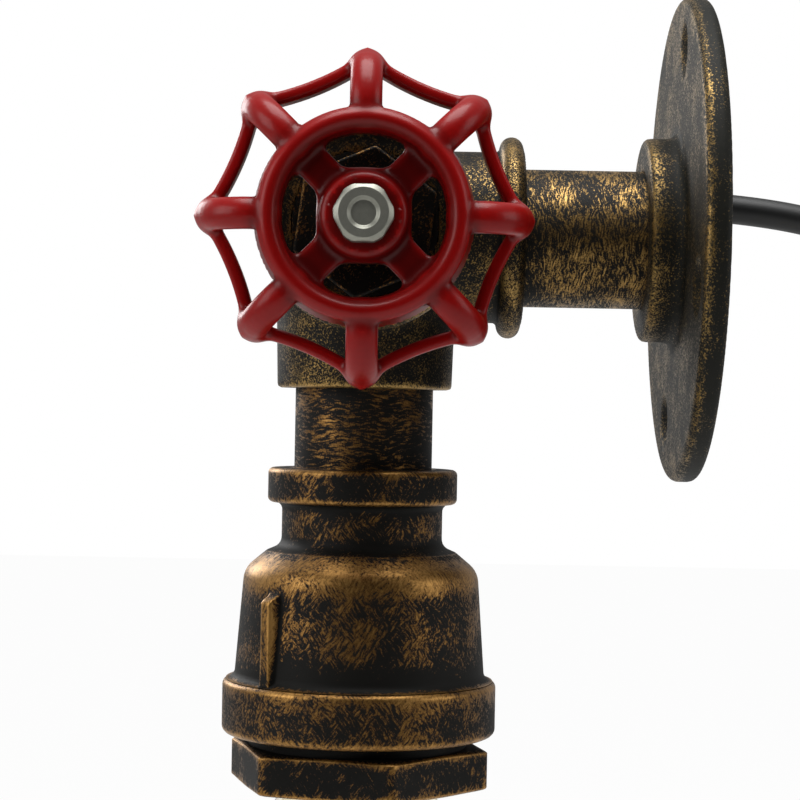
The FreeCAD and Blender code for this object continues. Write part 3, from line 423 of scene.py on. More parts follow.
def add_node(tree: bpy.types.NodeTree, kind: str, inputs: dict | None = None,
             **settings: object) -> bpy.types.Node:
    """Add a node with its settings, input values and links.

    Args:
        tree: The node tree.
        kind: Blender's name of the node type.
        inputs: Socket name or number to a value or to the socket that feeds it.
        settings: Properties of the node itself.

    Returns:
        The new node.
    """
    node = tree.nodes.new(kind)
    for name, value in settings.items():
        setattr(node, name, value)
    for key, value in (inputs or {}).items():
        if isinstance(value, bpy.types.NodeSocket):
            tree.links.new(value, node.inputs[key])
        else:
            node.inputs[key].default_value = value
    return node


def blank_material(name: str) -> tuple[bpy.types.Material, bpy.types.NodeTree]:
    """Make a material with nothing in its node tree."""
    material = bpy.data.materials.new(name)
    material.use_nodes = True
    material.node_tree.nodes.clear()
    return material, material.node_tree


def close_material(tree: bpy.types.NodeTree, shader: bpy.types.Node) -> None:
    """Send the shader to the material's output."""
    add_node(tree, "ShaderNodeOutputMaterial", {"Surface": shader.outputs[0]})


MIX_A, MIX_B, MIX_RESULT = 6, 7, 2


def in_millimetres(tree: bpy.types.NodeTree) -> bpy.types.NodeSocket:
    """Object coordinates scaled so that one unit is a millimetre."""
    where = add_node(tree, "ShaderNodeTexCoord").outputs["Object"]
    return add_node(tree, "ShaderNodeMapping", {"Vector": where, "Scale": (1 / MM,) * 3}).outputs[0]


def noise(tree: bpy.types.NodeTree, where: bpy.types.NodeSocket, size_mm: float,
          detail: float = 3.0) -> bpy.types.NodeSocket:
    """Noise whose blotches are about the given size in millimetres."""
    return add_node(tree, "ShaderNodeTexNoise", {
        "Vector": where, "Scale": 1 / size_mm, "Detail": detail, "Roughness": 0.6}).outputs[0]


def add_share(tree: bpy.types.NodeTree, value: bpy.types.NodeSocket, weight: float,
              total: bpy.types.NodeSocket | float) -> bpy.types.NodeSocket:
    """Add a value times its weight to a running total."""
    return add_node(tree, "ShaderNodeMath", {0: value, 1: weight, 2: total},
                    operation="MULTIPLY_ADD").outputs[0]


@dataclass(frozen=True)
class DryBrushedIron:
    """Sand-cast iron, stove-blacked, then dry-brushed with antique bronze paint.

    The black is matt and slightly pitted; the bronze is a thin metallic film that only
    catches on high grain, along short crossing strokes and on every edge.
    """

    name: str
    stretch: tuple[float, float, float] = (1.0, 1.0, 6.0)
    lean: float = 35.0
    cover: float = 0.0
    edge: float = 0.4
    grit: float = 0.45
    black: str = "#0b0a07"
    umber: str = "#432809"
    bronze: str = "#a67d44"
    grain_mm: float = 0.3
    stroke_mm: float = 0.42
    patch_mm: float = 7.0
    pit_depth_mm: float = 0.05

    def strokes(self, tree: bpy.types.NodeTree, even: bpy.types.NodeSocket) -> bpy.types.NodeSocket:
        """Short strokes that lean one way or the other from patch to patch."""
        swirl = add_node(tree, "ShaderNodeTexNoise", {"Vector": even, "Scale": 1 / self.patch_mm})
        bent = add_node(tree, "ShaderNodeVectorMath", {
            0: swirl.outputs[1], 1: (2.5, 2.5, 2.5), 2: even}, operation="MULTIPLY_ADD")
        drawn = []
        for sign in (1, -1):
            leaning = add_node(tree, "ShaderNodeMapping", {
                "Vector": bent.outputs[0], "Scale": self.stretch,
                "Rotation": (math.radians(sign * self.lean), 0.0, 0.0)}, vector_type="TEXTURE")
            drawn.append(noise(tree, leaning.outputs[0], self.stroke_mm))
        side = add_node(tree, "ShaderNodeMapRange", {
            "Value": noise(tree, even, self.patch_mm / 2, 1.0), "From Min": 0.44, "From Max": 0.56})
        return add_node(tree, "ShaderNodeMix", {
            "Factor": side.outputs[0], 2: drawn[0], 3: drawn[1]}).outputs[0]

    def make(self) -> bpy.types.Material:
        """Build the material: where the summed noises and the stored wear and painted light pass a level,
        the film lies.
        """
        material, tree = blank_material(self.name)
        even = in_millimetres(tree)
        grain = noise(tree, even, self.grain_mm)
        patch = noise(tree, even, self.patch_mm)
        wear_and_painted_light = add_node(tree, "ShaderNodeAttribute", attribute_name="wear_and_painted_light").outputs["Fac"]
        level = self.cover - 0.5 * (1 + self.grit + 0.6)
        paint = add_share(tree, grain, self.grit, level)
        paint = add_share(tree, patch, 0.6, paint)
        paint = add_share(tree, self.strokes(tree, even), 1.0, paint)
        paint = add_share(tree, wear_and_painted_light, self.edge, paint)
        film = add_node(tree, "ShaderNodeMapRange", {
            "Value": paint, "From Min": -0.05, "From Max": 0.07},
            interpolation_type="SMOOTHSTEP").outputs[0]
        tone = add_node(tree, "ShaderNodeMapRange", {"Value": paint, "From Min": -0.02, "From Max": 0.32})
        gold = add_node(tree, "ShaderNodeMix", {
            "Factor": tone.outputs[0], MIX_A: linear(self.umber), MIX_B: linear(self.bronze)},
            data_type="RGBA")
        colour = add_node(tree, "ShaderNodeMix", {
            "Factor": film, MIX_A: linear(self.black), MIX_B: gold.outputs[MIX_RESULT]},
            data_type="RGBA")
        metal = add_node(tree, "ShaderNodeMath", {0: film, 1: 0.85}, operation="MULTIPLY")
        rough = add_node(tree, "ShaderNodeMapRange", {"Value": film, "To Min": 0.6, "To Max": 0.4})
        sheen = add_node(tree, "ShaderNodeMapRange", {"Value": film, "To Min": 0.15, "To Max": 0.5})
        height = add_share(tree, film, 0.4, grain)
        pits = add_node(tree, "ShaderNodeBump", {
            "Height": height, "Strength": 0.7, "Distance": self.pit_depth_mm * MM})
        shader = add_node(tree, "ShaderNodeBsdfPrincipled", {
            "Base Color": colour.outputs[MIX_RESULT], "Metallic": metal.outputs[0],
            "Roughness": rough.outputs[0], "Specular IOR Level": sheen.outputs[0],
            "Normal": pits.outputs[0]})
        close_material(tree, shader)
        return material


@dataclass(frozen=True)
class Enamel:
    """Gloss alkyd enamel, dipped over a zinc casting: deep colour under a clear coat."""

    name: str = "red_dipped_enamel"
    colour: str = "#860605"
    # Darker red for the hollows and the dish inside the ring: painted shade, partly pooled paint.
    pooled_and_shaded: str = "#470101"
    ripple_mm: float = 2.2
    ripple_depth_mm: float = 0.05

    def make(self) -> bpy.types.Material:
        """Build the material; hollows are darker, partly as pooled paint and partly as painted shade."""
        material, tree = blank_material(self.name)
        wear_and_painted_light = add_node(tree, "ShaderNodeAttribute", attribute_name="wear_and_painted_light")
        # Painted shade: hollows and the dish take the darker red, partly as pooled paint.
        pool_and_shade = add_node(tree, "ShaderNodeMapRange", {
            "Value": wear_and_painted_light.outputs["Fac"], "From Min": -0.5, "From Max": 0.25})
        colour = add_node(tree, "ShaderNodeMix", {
            "Factor": pool_and_shade.outputs[0], MIX_A: linear(self.pooled_and_shaded), MIX_B: linear(self.colour)},
            data_type="RGBA")
        peel = add_node(tree, "ShaderNodeBump", {
            "Height": noise(tree, in_millimetres(tree), self.ripple_mm, 2.0), "Strength": 0.5,
            "Distance": self.ripple_depth_mm * MM})
        shader = add_node(tree, "ShaderNodeBsdfPrincipled", {
            "Base Color": colour.outputs[MIX_RESULT], "Roughness": 0.36, "Specular IOR Level": 0.18,
            "Coat Weight": 0.08, "Coat Roughness": 0.12, "Normal": peel.outputs[0]})
        close_material(tree, shader)
        return material


@dataclass(frozen=True)
class PlatedMetal:
    """Plated or bare sheet metal: an even metal with a fine, blurred grain."""

    name: str
    colour: str
    roughness: float = 0.35
    metallic: float = 1.0
    mottle: float = 0.25
    mottle_mm: float = 0.8

    def make(self) -> bpy.types.Material:
        """Build the material with its brightness mottled by the given share."""
        material, tree = blank_material(self.name)
        cloud = noise(tree, in_millimetres(tree), self.mottle_mm, 4.0)
        full = linear(self.colour)
        dull = tuple(c * (1 - self.mottle) for c in full[:3]) + (1.0,)
        colour = add_node(tree, "ShaderNodeMix", {
            "Factor": cloud, MIX_A: dull, MIX_B: full}, data_type="RGBA")
        bump = add_node(tree, "ShaderNodeBump", {
            "Height": cloud, "Strength": 0.3, "Distance": 0.05 * MM})
        shader = add_node(tree, "ShaderNodeBsdfPrincipled", {
            "Base Color": colour.outputs[MIX_RESULT], "Metallic": self.metallic,
            "Roughness": self.roughness, "Normal": bump.outputs[0]})
        close_material(tree, shader)
        return material


@dataclass(frozen=True)
class Moulding:
    """Moulded plastic or phenolic resin: one colour with a soft sheen."""

    name: str
    colour: str
    roughness: float = 0.45

    def make(self) -> bpy.types.Material:
        """Build the material."""
        material, tree = blank_material(self.name)
        shader = add_node(tree, "ShaderNodeBsdfPrincipled", {
            "Base Color": linear(self.colour), "Roughness": self.roughness})
        close_material(tree, shader)
        return material


@dataclass(frozen=True)
class BlownGlass:
    """Blown soda-lime glass; the envelope is tinted gold by a thin coating, paler at the neck."""

    name: str
    colour: str
    neck: str
    low: float
    high: float

    def make(self) -> bpy.types.Material:
        """Build the material with its tint fading between two heights in millimetres."""
        material, tree = blank_material(self.name)
        where = add_node(tree, "ShaderNodeTexCoord").outputs["Object"]
        level = add_node(tree, "ShaderNodeSeparateXYZ", {0: where})
        rise = add_node(tree, "ShaderNodeMapRange", {
            "Value": level.outputs[2], "From Min": self.low * MM, "From Max": self.high * MM},
            interpolation_type="SMOOTHSTEP")
        tint = add_node(tree, "ShaderNodeMix", {
            "Factor": rise.outputs[0], MIX_A: linear(self.colour), MIX_B: linear(self.neck)},
            data_type="RGBA")
        shader = add_node(tree, "ShaderNodeBsdfPrincipled", {
            "Base Color": tint.outputs[MIX_RESULT], "Roughness": 0.0, "IOR": 1.5,
            "Transmission Weight": 1.0})
        close_material(tree, shader)
        return material


@dataclass(frozen=True)
class Phosphor:
    """Silicone loaded with yellow phosphor over a strip of chips, glowing faintly."""

    name: str = "yellow_phosphor"
    colour: str = "#f0a81c"
    glow: float = 0.55

    def make(self) -> bpy.types.Material:
        """Build the material."""
        material, tree = blank_material(self.name)
        shader = add_node(tree, "ShaderNodeBsdfPrincipled", {
            "Base Color": linear(self.colour), "Roughness": 0.5,
            "Emission Color": linear(self.colour), "Emission Strength": self.glow})
        close_material(tree, shader)
        return material


class Palette:
    """Every finish of the light, made once."""

    def __init__(self) -> None:
        """Make the materials."""
        round_y, round_z = (6.0, 1.0, 6.0), (6.0, 6.0, 1.0)
        self.plate = DryBrushedIron("iron_wall_plate", (1.5, 1.0, 1.5), 30.0, -0.08, 0.25, 1.2,
                                    black="#14140f", umber="#372e1a", bronze="#937643").make()
        self.wall_pipe = DryBrushedIron("iron_wall_pipe", round_y, 12.0, -0.02, grit=0.6, stroke_mm=0.28,
                                        umber="#42300f", bronze="#b38f54").make()
        self.elbow = DryBrushedIron("iron_elbow", (1.0, 1.0, 2.0), cover=-0.07, grit=0.9, stroke_mm=0.3,
                                    umber="#3d2f10", bronze="#a68650").make()
        self.plug = DryBrushedIron("iron_plug", (1.0, 1.0, 2.0), cover=-0.16, edge=0.15, grit=0.7).make()
        self.drop_pipe = DryBrushedIron("iron_drop_pipe", round_z, 8.0, -0.08).make()
        self.socket = DryBrushedIron("iron_socket", cover=-0.09).make()
        self.bush = DryBrushedIron("iron_bush", cover=-0.13).make()
        self.enamel = Enamel().make()
        self.zinc = PlatedMetal("zinc_plated_steel", "#94948a", 0.45, 0.85).make()
        self.brass = PlatedMetal("bare_brass", "#c39a4e", 0.3).make()
        self.nickel = PlatedMetal("nickel_plate", "#c9c6bf", 0.22, mottle=0.1).make()
        self.phenolic = Moulding("moulded_phenolic", "#171412", 0.35).make()
        self.sheath = Moulding("black_pvc_sheath", "#080909", 0.5).make()
        self.brown = Moulding("brown_pvc_core", "#5a2f17").make()
        self.blue = Moulding("blue_pvc_core", "#1f5f9e").make()
        self.earth = Moulding("green_yellow_pvc_core", "#6f9a22").make()
        self.insulator = Moulding("white_ceramic_insulator", "#dcdad2", 0.3).make()
        self.board = Moulding("green_circuit_board", "#1f5a35").make()
        self.amber = BlownGlass("amber_blown_glass", "#f9e2bb", "#fbf4e6", -205, -120).make()
        self.clear = BlownGlass("clear_stem_glass", "#f4f4ee", "#f4f4ee", -200, -100).make()
        self.phosphor = Phosphor().make()


def dress(piece: bpy.types.Object, material: bpy.types.Material, body: str, slot: str,
          *nodes: str) -> bpy.types.Object:
    """Give a new piece its material and body, and let it stand for CAD nodes.

    Args:
        piece: The new piece.
        material: Its material.
        body: The body that carries it.
        slot: The record's material slot; not used.
        nodes: CAD nodes that it replaces.

    Returns:
        The piece.
    """
    piece.data.materials.clear()
    piece.data.materials.append(material)
    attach(piece, body)
    if nodes:
        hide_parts(*nodes)
    LOG.info("%s: %d vertices", piece.name, len(getattr(piece.data, "vertices", ())))
    return piece


def paint_node(name: str, material: bpy.types.Material) -> None:
    """Put a material on every slot of a CAD node."""
    node = bpy.data.objects[name]
    if not node.material_slots:
        node.data.materials.append(material)
    for holder in node.material_slots:
        holder.material = material


# ------------------------------------------------------------------ wall plate and pipes


@dataclass
class WallPlate:
    """Round cast plate with a boss for the pipe and four countersunk screw holes."""

    radius: float = 46.25
    thickness: float = 4.7
    boss_radius: float = 19.5
    boss_front: float = 11.0
    bore: float = 13.25
    screw_circle: float = 36.5
    screw_first: float = 73.5
    screw_radius: float = 3.35
    sink_radius: float = 5.4
    sink_depth: float = 1.6

    def form(self, points: np.ndarray) -> np.ndarray:
        """Distance to the plate: two discs merged, less the pipe's bore and the screw holes."""
        x, y, up = points.T
        away = np.hypot(x, y)
        plate = block(away, up, (-self.radius, self.radius), (0, self.thickness), 1.5)
        boss = block(away, up, (-self.boss_radius, self.boss_radius), (0.4, self.boss_front), 1.2)
        solid = merge(plate, boss, 2.2)
        solid = carve(solid, away - self.bore, 0.3)
        first = math.radians(self.screw_first)
        quarter = math.pi / 2
        angle = (np.arctan2(y, x) - first + quarter / 2) % quarter - quarter / 2
        off = np.hypot(away * np.cos(angle) - self.screw_circle, away * np.sin(angle))
        widen = (self.sink_radius - self.screw_radius) / self.sink_depth
        cone = (off - self.screw_radius - widen * (up - self.thickness + self.sink_depth)) * 0.62
        hole = np.minimum(off - self.screw_radius, np.maximum(cone, self.thickness - self.sink_depth - up))
        return carve(solid, hole, 0.35)

    def build(self, finish: Palette) -> None:
        """Lay the plate's skin and dress it."""
        reach = self.radius
        piece = skin("wall_plate_casting", self.form, (-reach, -reach, 0), (reach, reach, self.boss_front),
                     0.62, Axis.TO_ROOM)
        store_wear_and_painted_light(piece, gain=1.8, extra_wear_and_painted_light=self.extra_wear_and_painted_light)
        dress(piece, finish.plate, "fixture", "bronzed_iron", "wall_flange")

    def extra_wear_and_painted_light(self, points: np.ndarray) -> np.ndarray:
        """More bronze on the front rim and the boss's front edge, little on the outer side."""
        x, y, z = points.T
        away = np.hypot(x, z)
        face = np.interp(away, (40.0, 44.0, 45.6), (0.0, 0.1, 0.0))
        side = np.clip((-3.2 - y) / 1.2, -0.7, 0.05) * (away > 45.4)
        boss = np.clip((-8.0 - y) / 2.0, -0.3, 0.6) * (away > 18.9) * (away < 20.0)
        return face + side + 0.5 * boss


@dataclass
class Pipes:
    """The two pipe nipples between the fittings."""

    radius: float = 13.2
    wall: float = 2.7
    wall_start: float = 1.5
    wall_end: float = 47.6
    drop_top: float = -16.0
    drop_end: float = -58.3

    def profile(self, low: float, high: float) -> np.ndarray:
        """Section of a length of pipe with broken outer edges."""
        inner = self.radius - self.wall
        return rounded([(inner, low), (self.radius, low, 0.4), (self.radius, high, 0.4), (inner, high)])

    def build(self, finish: Palette) -> None:
        """Turn and dress both nipples."""
        piece = turn("wall_pipe_turned", self.profile(self.wall_start, self.wall_end), Axis.TO_ROOM)
        store_wear_and_painted_light(piece)
        dress(piece, finish.wall_pipe, "fixture", "bronzed_iron", "wall_nipple")
        piece = turn("drop_pipe_turned", self.profile(self.drop_end, self.drop_top), Axis.DROP)
        store_wear_and_painted_light(piece)
        dress(piece, finish.drop_pipe, "fixture", "bronzed_iron", "drop_nipple")


@dataclass
class SideOutletElbow:
    """Cast elbow with a third port: a round corner, two beaded arms and a plain leg."""

    length: float = 29.5
    corner: float = 17.5
    arm: float = 16.4
    leg: float = 16.7
    bead: float = 19.3
    bead_width: float = 4.4
    thread: float = 13.25
    passage: float = 10.5
    stop: float = 16.0
    crotch: float = 4.5

    def arm_form(self, along: np.ndarray, away: np.ndarray) -> np.ndarray:
        """Distance to one beaded arm from the distance along it and away from its axis."""
        tube = np.maximum(away - self.arm, slab(along, 0, self.length))
        half = self.bead_width / 2
        ring = np.hypot(along - (self.length - half), away - (self.bead - half)) - half
        return merge(tube, ring, 1.0)

    def port_form(self, along: np.ndarray, away: np.ndarray) -> np.ndarray:
        """Distance to the hollow of one port: the passage and the wider thread in front."""
        passage = np.maximum(away - self.passage, -along)
        return np.minimum(passage, np.maximum(away - self.thread, self.stop - along))

    def form(self, points: np.ndarray) -> np.ndarray:
        """Distance to the casting: ball, leg and arms merged, less the three ports."""
        x, y, z = points.T
        off_z = np.hypot(x, y)
        taper = self.leg + (self.corner - self.leg) * (1 + z / self.length)
        leg = -merge(-(off_z - taper), -slab(z, -self.length, 0), 0.9)
        ball = np.linalg.norm(points, axis=1) - self.corner
        solid = np.minimum(leg, ball)
        side, wall = self.arm_form(x, np.hypot(y, z)), self.arm_form(y, np.hypot(x, z))
        solid = merge(solid, merge(side, wall, self.crotch), self.crotch)
        for along, away in ((x, np.hypot(y, z)), (y, np.hypot(x, z)), (-z, off_z)):
            solid = carve(solid, self.port_form(along, away), 0.25)
        return solid

    def build(self, finish: Palette) -> None:
        """Lay the casting's skin and dress it."""
        low = (-self.bead, -self.bead, -self.length)
        high = (self.length, self.length, self.bead)
        piece = skin("elbow_casting", self.form, low, high, 0.62, Axis.DROP)
        store_wear_and_painted_light(piece, gain=1.8)
        dress(piece, finish.elbow, "fixture", "bronzed_iron", "side_outlet_elbow")


# ------------------------------------------------------------------ plug, bolt and wheel


@dataclass
class PortPlug:
    """Hexagon-headed plug in the side port, behind the wheel."""

    face: float = 29.5
    barrel: float = 12.0
    wall: float = 3.0
    radius: float = 13.2
    bore: float = 9.0
    bolt_hole: float = 3.05
    across: float = 24.0
    lean: float = -7.0
    head: float = 3.0

    def build(self, finish: Palette) -> None:
        """Turn the plug with its head pressed to a hexagon."""
        top = self.face + self.head
        profile = rounded([
            (self.bolt_hole, self.face - self.wall), (self.bore, self.face - self.wall),
            (self.bore, self.face - self.barrel), (self.radius, self.face - self.barrel, 0.4),
            (self.radius, self.face), (self.across / 2, self.face + 0.01),
            (self.across / 2, top, 0.5), (self.bolt_hole, top)])

        def relief(radius: np.ndarray, height: np.ndarray, around: np.ndarray) -> np.ndarray:
            head = (height > self.face + 1e-6) | (radius < self.radius - 0.1) & (height >= self.face)
            share = np.clip((radius - self.bolt_hole) / (self.across / 2 - self.bolt_hole), 0, 1)
            stretch = hexagon_radius(self.across, around, self.lean) / (self.across / 2)
            return np.where(head, radius * (1 + (stretch - 1) * share), radius)

        piece = turn("port_plug_casting", profile, Axis.TO_WHEEL, columns=192, relief=relief)
        store_wear_and_painted_light(piece)
        dress(piece, finish.plug, "fixture", "bronzed_iron", "port_plug")


@dataclass
class WheelBolt:
    """Hexagon bolt that carries the wheel, its head turned to a ring and dished."""

    seat: float = 48.4
    height: float = 4.0
    across: float = 9.8
    lean: float = 30.0
    corner: float = 5.2
    radius: float = 3.0
    tail: float = 19.5
    ring: float = 4.3
    chamfer: float = 0.7
    dish: float = 2.8
    dish_depth: float = 0.6
    pitch: float = 1.0

    def build(self, finish: Palette) -> None:
        """Turn the bolt; the flats are a hexagon cut down by a cone at the corners."""
        top = self.seat + self.height
        profile = rounded([
            (0, self.tail), (self.radius, self.tail, 0.5), (self.radius, self.seat),
            (self.corner, self.seat), (self.corner, top - self.chamfer, 0.3), (self.ring, top, 0.3),
            (self.dish, top, 0.25), (self.dish - self.dish_depth, top - self.dish_depth, 0.3),
            (0, top - self.dish_depth)], run=0.35, closed=False)

        def relief(radius: np.ndarray, height: np.ndarray, around: np.ndarray) -> np.ndarray:
            flat = np.minimum(radius, hexagon_radius(self.across, around, self.lean, 120))
            groove = np.cos(2 * math.pi * height / self.pitch - around) * 0.22 - 0.22
            shank = (radius > self.radius - 0.05) & (height < self.seat - 14)
            return np.where(height >= self.seat - 1e-6, flat, radius + np.where(shank, groove, 0))

        piece = turn("wheel_bolt_head", profile, Axis.TO_WHEEL, closed=False, columns=120, relief=relief)
        store_wear_and_painted_light(piece)
        dress(piece, finish.zinc, "fixture", "zinc_steel", "wheel_bolt")


@dataclass
class Handwheel:
    """Die-cast valve wheel: hub, spoked disc, lipped ring and eight curled fingers."""

    rear: float = 33.3
    stand: float = 2.3
    hub: float = 7.5
    hub_front: float = 15.0
    bore: float = 3.06
    radius: float = 29.7
    depth: float = 13.3
    fingers: int = 8
    finger_width: float = 5.6
    finger_thickness: float = 4.5
    bend: float = 8.6
    web_depth: float = 5.4
    web_thickness: float = 2.3
    web_hollow: float = 1.2
    web_inset: float = 0.7
    ring: float = 19.3
    ring_rear: float = 8.6
    lip: float = 16.6
    lip_front: float = 16.4
    lip_width: float = 3.3
    disc_front: float = 12.9
    disc_thickness: float = 3.2
    window_outer: float = 14.8
    window_inner: float = 7.9
    spoke: float = 6.2
    arc_steps: int = 14
    path: np.ndarray = field(init=False)

    def __post_init__(self) -> None:
        """Lay out the fingers' centre line: up, round a quarter, then level under the lip."""
        outer = self.radius - self.finger_thickness / 2
        crest = self.stand + self.depth - self.finger_thickness / 2
        turn_up = np.linspace(0, math.pi / 2, self.arc_steps)
        bend = np.stack([outer - self.bend + self.bend * np.cos(turn_up),
                         crest - self.bend + self.bend * np.sin(turn_up)], axis=1)
        self.path = np.concatenate([[(outer, self.stand + 1.2)], bend, [(self.lip, crest)]])

    def finger_form(self, out: np.ndarray, across: np.ndarray, up: np.ndarray) -> np.ndarray:
        """Distance to an oval finger: the nearest run of its centre line, then the oval."""
        near = np.full(out.shape, np.inf)
        for start, end in zip(self.path[:-1], self.path[1:]):
            run = end - start
            share = ((out - start[0]) * run[0] + (up - start[1]) * run[1]) / (run @ run)
            share = np.clip(share, 0, 1)
            gap = np.hypot(out - start[0] - share * run[0], up - start[1] - share * run[1])
            near = np.minimum(near, gap)
        oval = np.hypot(near / (self.finger_thickness / 2), across / (self.finger_width / 2))
        return (oval - 1) * self.finger_thickness / 2

    def web_form(self, out: np.ndarray, across: np.ndarray, up: np.ndarray) -> np.ndarray:
        """Distance to the hollow-curved web midway between two fingers."""
        rim = self.radius - self.web_inset - self.web_thickness / 2
        half = math.pi / self.fingers
        chord = rim * math.sin(half)
        bow = (chord**2 + self.web_hollow**2) / (2 * self.web_hollow)
        centre = rim * math.cos(half) - self.web_hollow + bow
        sheet = np.abs(np.hypot(out - centre, across) - bow)
        sheet = np.where(out < centre, sheet, sheet + 50)
        thin = block(sheet, up, (-self.web_thickness / 2, self.web_thickness / 2),
                     (self.stand, self.stand + self.web_depth), 0.8)
        return np.maximum(thin, np.abs(across) - chord - 1)

    def form(self, points: np.ndarray) -> np.ndarray:
        """Distance to the wheel, folding the plane so that one finger and one web serve all."""
        x, y, up = points.T
        away, angle = np.hypot(x, y), np.arctan2(y, x)
        step = 2 * math.pi / self.fingers
        fold = (angle + step / 2) % step - step / 2
        mid = angle % step - step / 2
        half = self.lip_width / 2
        disc = block(away, up, (-self.lip, self.lip),
                     (self.disc_front - self.disc_thickness, self.disc_front), 0.5)
        turn_fold = (angle + math.pi / 4) % (math.pi / 2) - math.pi / 4
        beside = away * np.abs(np.sin(math.pi / 4 - np.abs(turn_fold)))
        window = -merge(-(away - self.window_outer), -(self.window_inner - away), 1.4)
        window = -merge(-window, -(self.spoke / 2 - beside), 2.4)
        disc = carve(disc, window, 0.7)
        slope = (away - self.ring) + (up - self.ring_rear) * 0.17
        ring = np.maximum(np.maximum(slope, self.lip - half - away),
                          slab(up, self.ring_rear, self.lip_front - half))
        lip = np.hypot(away - self.lip, up - (self.lip_front - half)) - half
        hub = block(away, up, (-self.hub, self.hub), (0, self.hub_front), 1.2)
        solid = merge(merge(ring, lip, 1.2), disc, 2.4)
        solid = merge(solid, hub, 2.2)
        webs = self.web_form(away * np.cos(mid), away * np.sin(mid), up)
        fingers = merge(self.finger_form(away * np.cos(fold), away * np.sin(fold), up), webs, 1.5)
        solid = merge(solid, fingers, 0.8)
        return carve(solid, away - self.bore, 0.3)

    def build(self, finish: Palette) -> None:
        """Lay the wheel's skin and dress it."""
        reach = self.radius
        piece = skin("handwheel_casting", self.shifted, (-reach, -reach, self.rear),
                     (reach, reach, self.rear + self.stand + self.depth), 0.5, Axis.TO_WHEEL)
        store_wear_and_painted_light(piece, gain=1.8, extra_wear_and_painted_light=self.extra_wear_and_painted_light)
        dress(piece, finish.enamel, "wheel", "red_enamel", "handwheel")

    def extra_wear_and_painted_light(self, points: np.ndarray) -> np.ndarray:
        """Painted shade: darker enamel in the dish inside the ring and at the ring's outer foot."""
        # Negative values darken the enamel as painted shade in the recessed dish and where the fingers
        # meet the ring.
        away = np.hypot(points[:, 1] + REACH, points[:, 2])
        return np.interp(away, (13.0, 16.5, 17.5, 19.5, 21.0), (-0.45, -0.3, 0.0, -0.25, 0.0))

    def shifted(self, points: np.ndarray) -> np.ndarray:
        """The form at its place along the side port's axis."""
        return self.form(points - np.array([0.0, 0.0, self.rear]))


# ------------------------------------------------------------------ socket and bush


@dataclass
class ReducingSocket:
    """Bell-shaped reducing socket with a banded neck, a rim and two ribs."""

    top: float = -44.8
    thread: float = 13.25
    band: float = 18.15
    band_bottom: float = -51.4
    neck: float = 15.4
    shoulder_top: float = -60.5
    shoulder_bottom: float = -66.6
    body_top: float = 22.3
    body_bottom: float = 23.9
    rim_top: float = -85.1
    rim_bottom: float = -95.4
    rim: float = 26.2
    rib: float = 25.3
    rib_top: float = -67.8
    rib_width: float = 2.9
    rib_turn: float = 136.6
    thread_end: float = -59.8
    passage: float = 10.6
    chamber: float = 19.4
    chamber_cone: float = -63.0
    chamber_top: float = -68.5
    mouth: float = 21.0
    mouth_top: float = -83.4

    def angles(self) -> np.ndarray:
        """Steps round the axis, close together across each rib."""
        half = math.radians(7)
        close = np.linspace(-half, half, 57)
        wide = np.linspace(half, math.pi - half, 84)[1:-1]
        side = np.concatenate([close, wide])
        return np.concatenate([side, side + math.pi]) + math.radians(self.rib_turn)

    def relief(self, radius: np.ndarray, height: np.ndarray, around: np.ndarray) -> np.ndarray:
        """Raise the ribs: the greater of the wall and a soft-sided strip on two sides."""
        turned = (around - math.radians(self.rib_turn) + math.pi / 2) % math.pi - math.pi / 2
        beside = np.abs(turned) * radius
        side = 1 / (1 + np.exp((beside - self.rib_width / 2) / 0.16))
        end = 1 / (1 + np.exp((height - self.rib_top + 0.5) / 0.22))
        crest = self.rib - np.clip(1.6 + (height - self.rib_top), 0, 1.6) * 0.8
        lift = np.maximum(crest - radius, 0) * side * end
        outside = (radius > self.body_top * 0.97) & (height < self.shoulder_top) & (height > self.rim_top)
        return np.where(outside, radius + lift, radius)

    def build(self, finish: Palette) -> None:
        """Turn the socket and dress it."""
        profile = rounded([
            (self.thread, self.top), (self.thread, self.thread_end), (self.passage, self.thread_end),
            (self.passage, self.chamber_cone), (self.chamber, self.chamber_top),
            (self.chamber, self.mouth_top), (self.mouth, self.mouth_top),
            (self.mouth, self.rim_bottom), (self.rim, self.rim_bottom, 1.3),
            (self.rim, self.rim_top, 1.2), (self.body_bottom + 0.1, self.rim_top, 1.7),
            (self.body_top + 0.1, self.shoulder_bottom + 2.4, 4.6), (18.2, self.shoulder_top - 0.2, 1.4),
            (self.neck, self.shoulder_top + 1.0, 2.2), (self.neck, self.band_bottom, 1.4),
            (self.band, self.band_bottom, 1.0), (self.band, self.top, 1.0)], run=0.55)
        piece = turn("reducing_socket_casting", profile, Axis.DROP, angles=self.angles(),
                     relief=self.relief)
        store_wear_and_painted_light(piece, extra_wear_and_painted_light=self.extra_wear_and_painted_light)
        dress(piece, finish.socket, "fixture", "bronzed_iron", "reducing_socket")

    @staticmethod
    def extra_wear_and_painted_light(points: np.ndarray) -> np.ndarray:
        """More bronze round the shoulder and the rim's upper half, none in the cove between: partly
        dry-brush wear, partly painted highlight on the upward faces and painted shade in the cove.
        """
        # Bands by height: the shoulder and rim top carry painted highlight, the cove painted shade; the
        # raised ribs take more bronze as wear.
        levels = (-95.0, -91.0, -86.5, -85.3, -84.0, -80.0, -68.5, -66.0, -62.0, -60.5, -57.5)
        shares = (0.1, 0.05, 0.3, 0.2, -0.6, 0.0, 0.0, 0.55, 0.55, -0.15, 0.08)
        x, y, z = points.T
        lift = np.hypot(x, y + REACH) - np.interp(z, (-85.0, -68.0), (23.9, 22.4))
        rib = np.clip(lift / 0.8, 0, 1) * ((z > -85.0) & (z < -66.0))
        return np.interp(z, levels, shares) * (z < -52.0) + 0.45 * rib


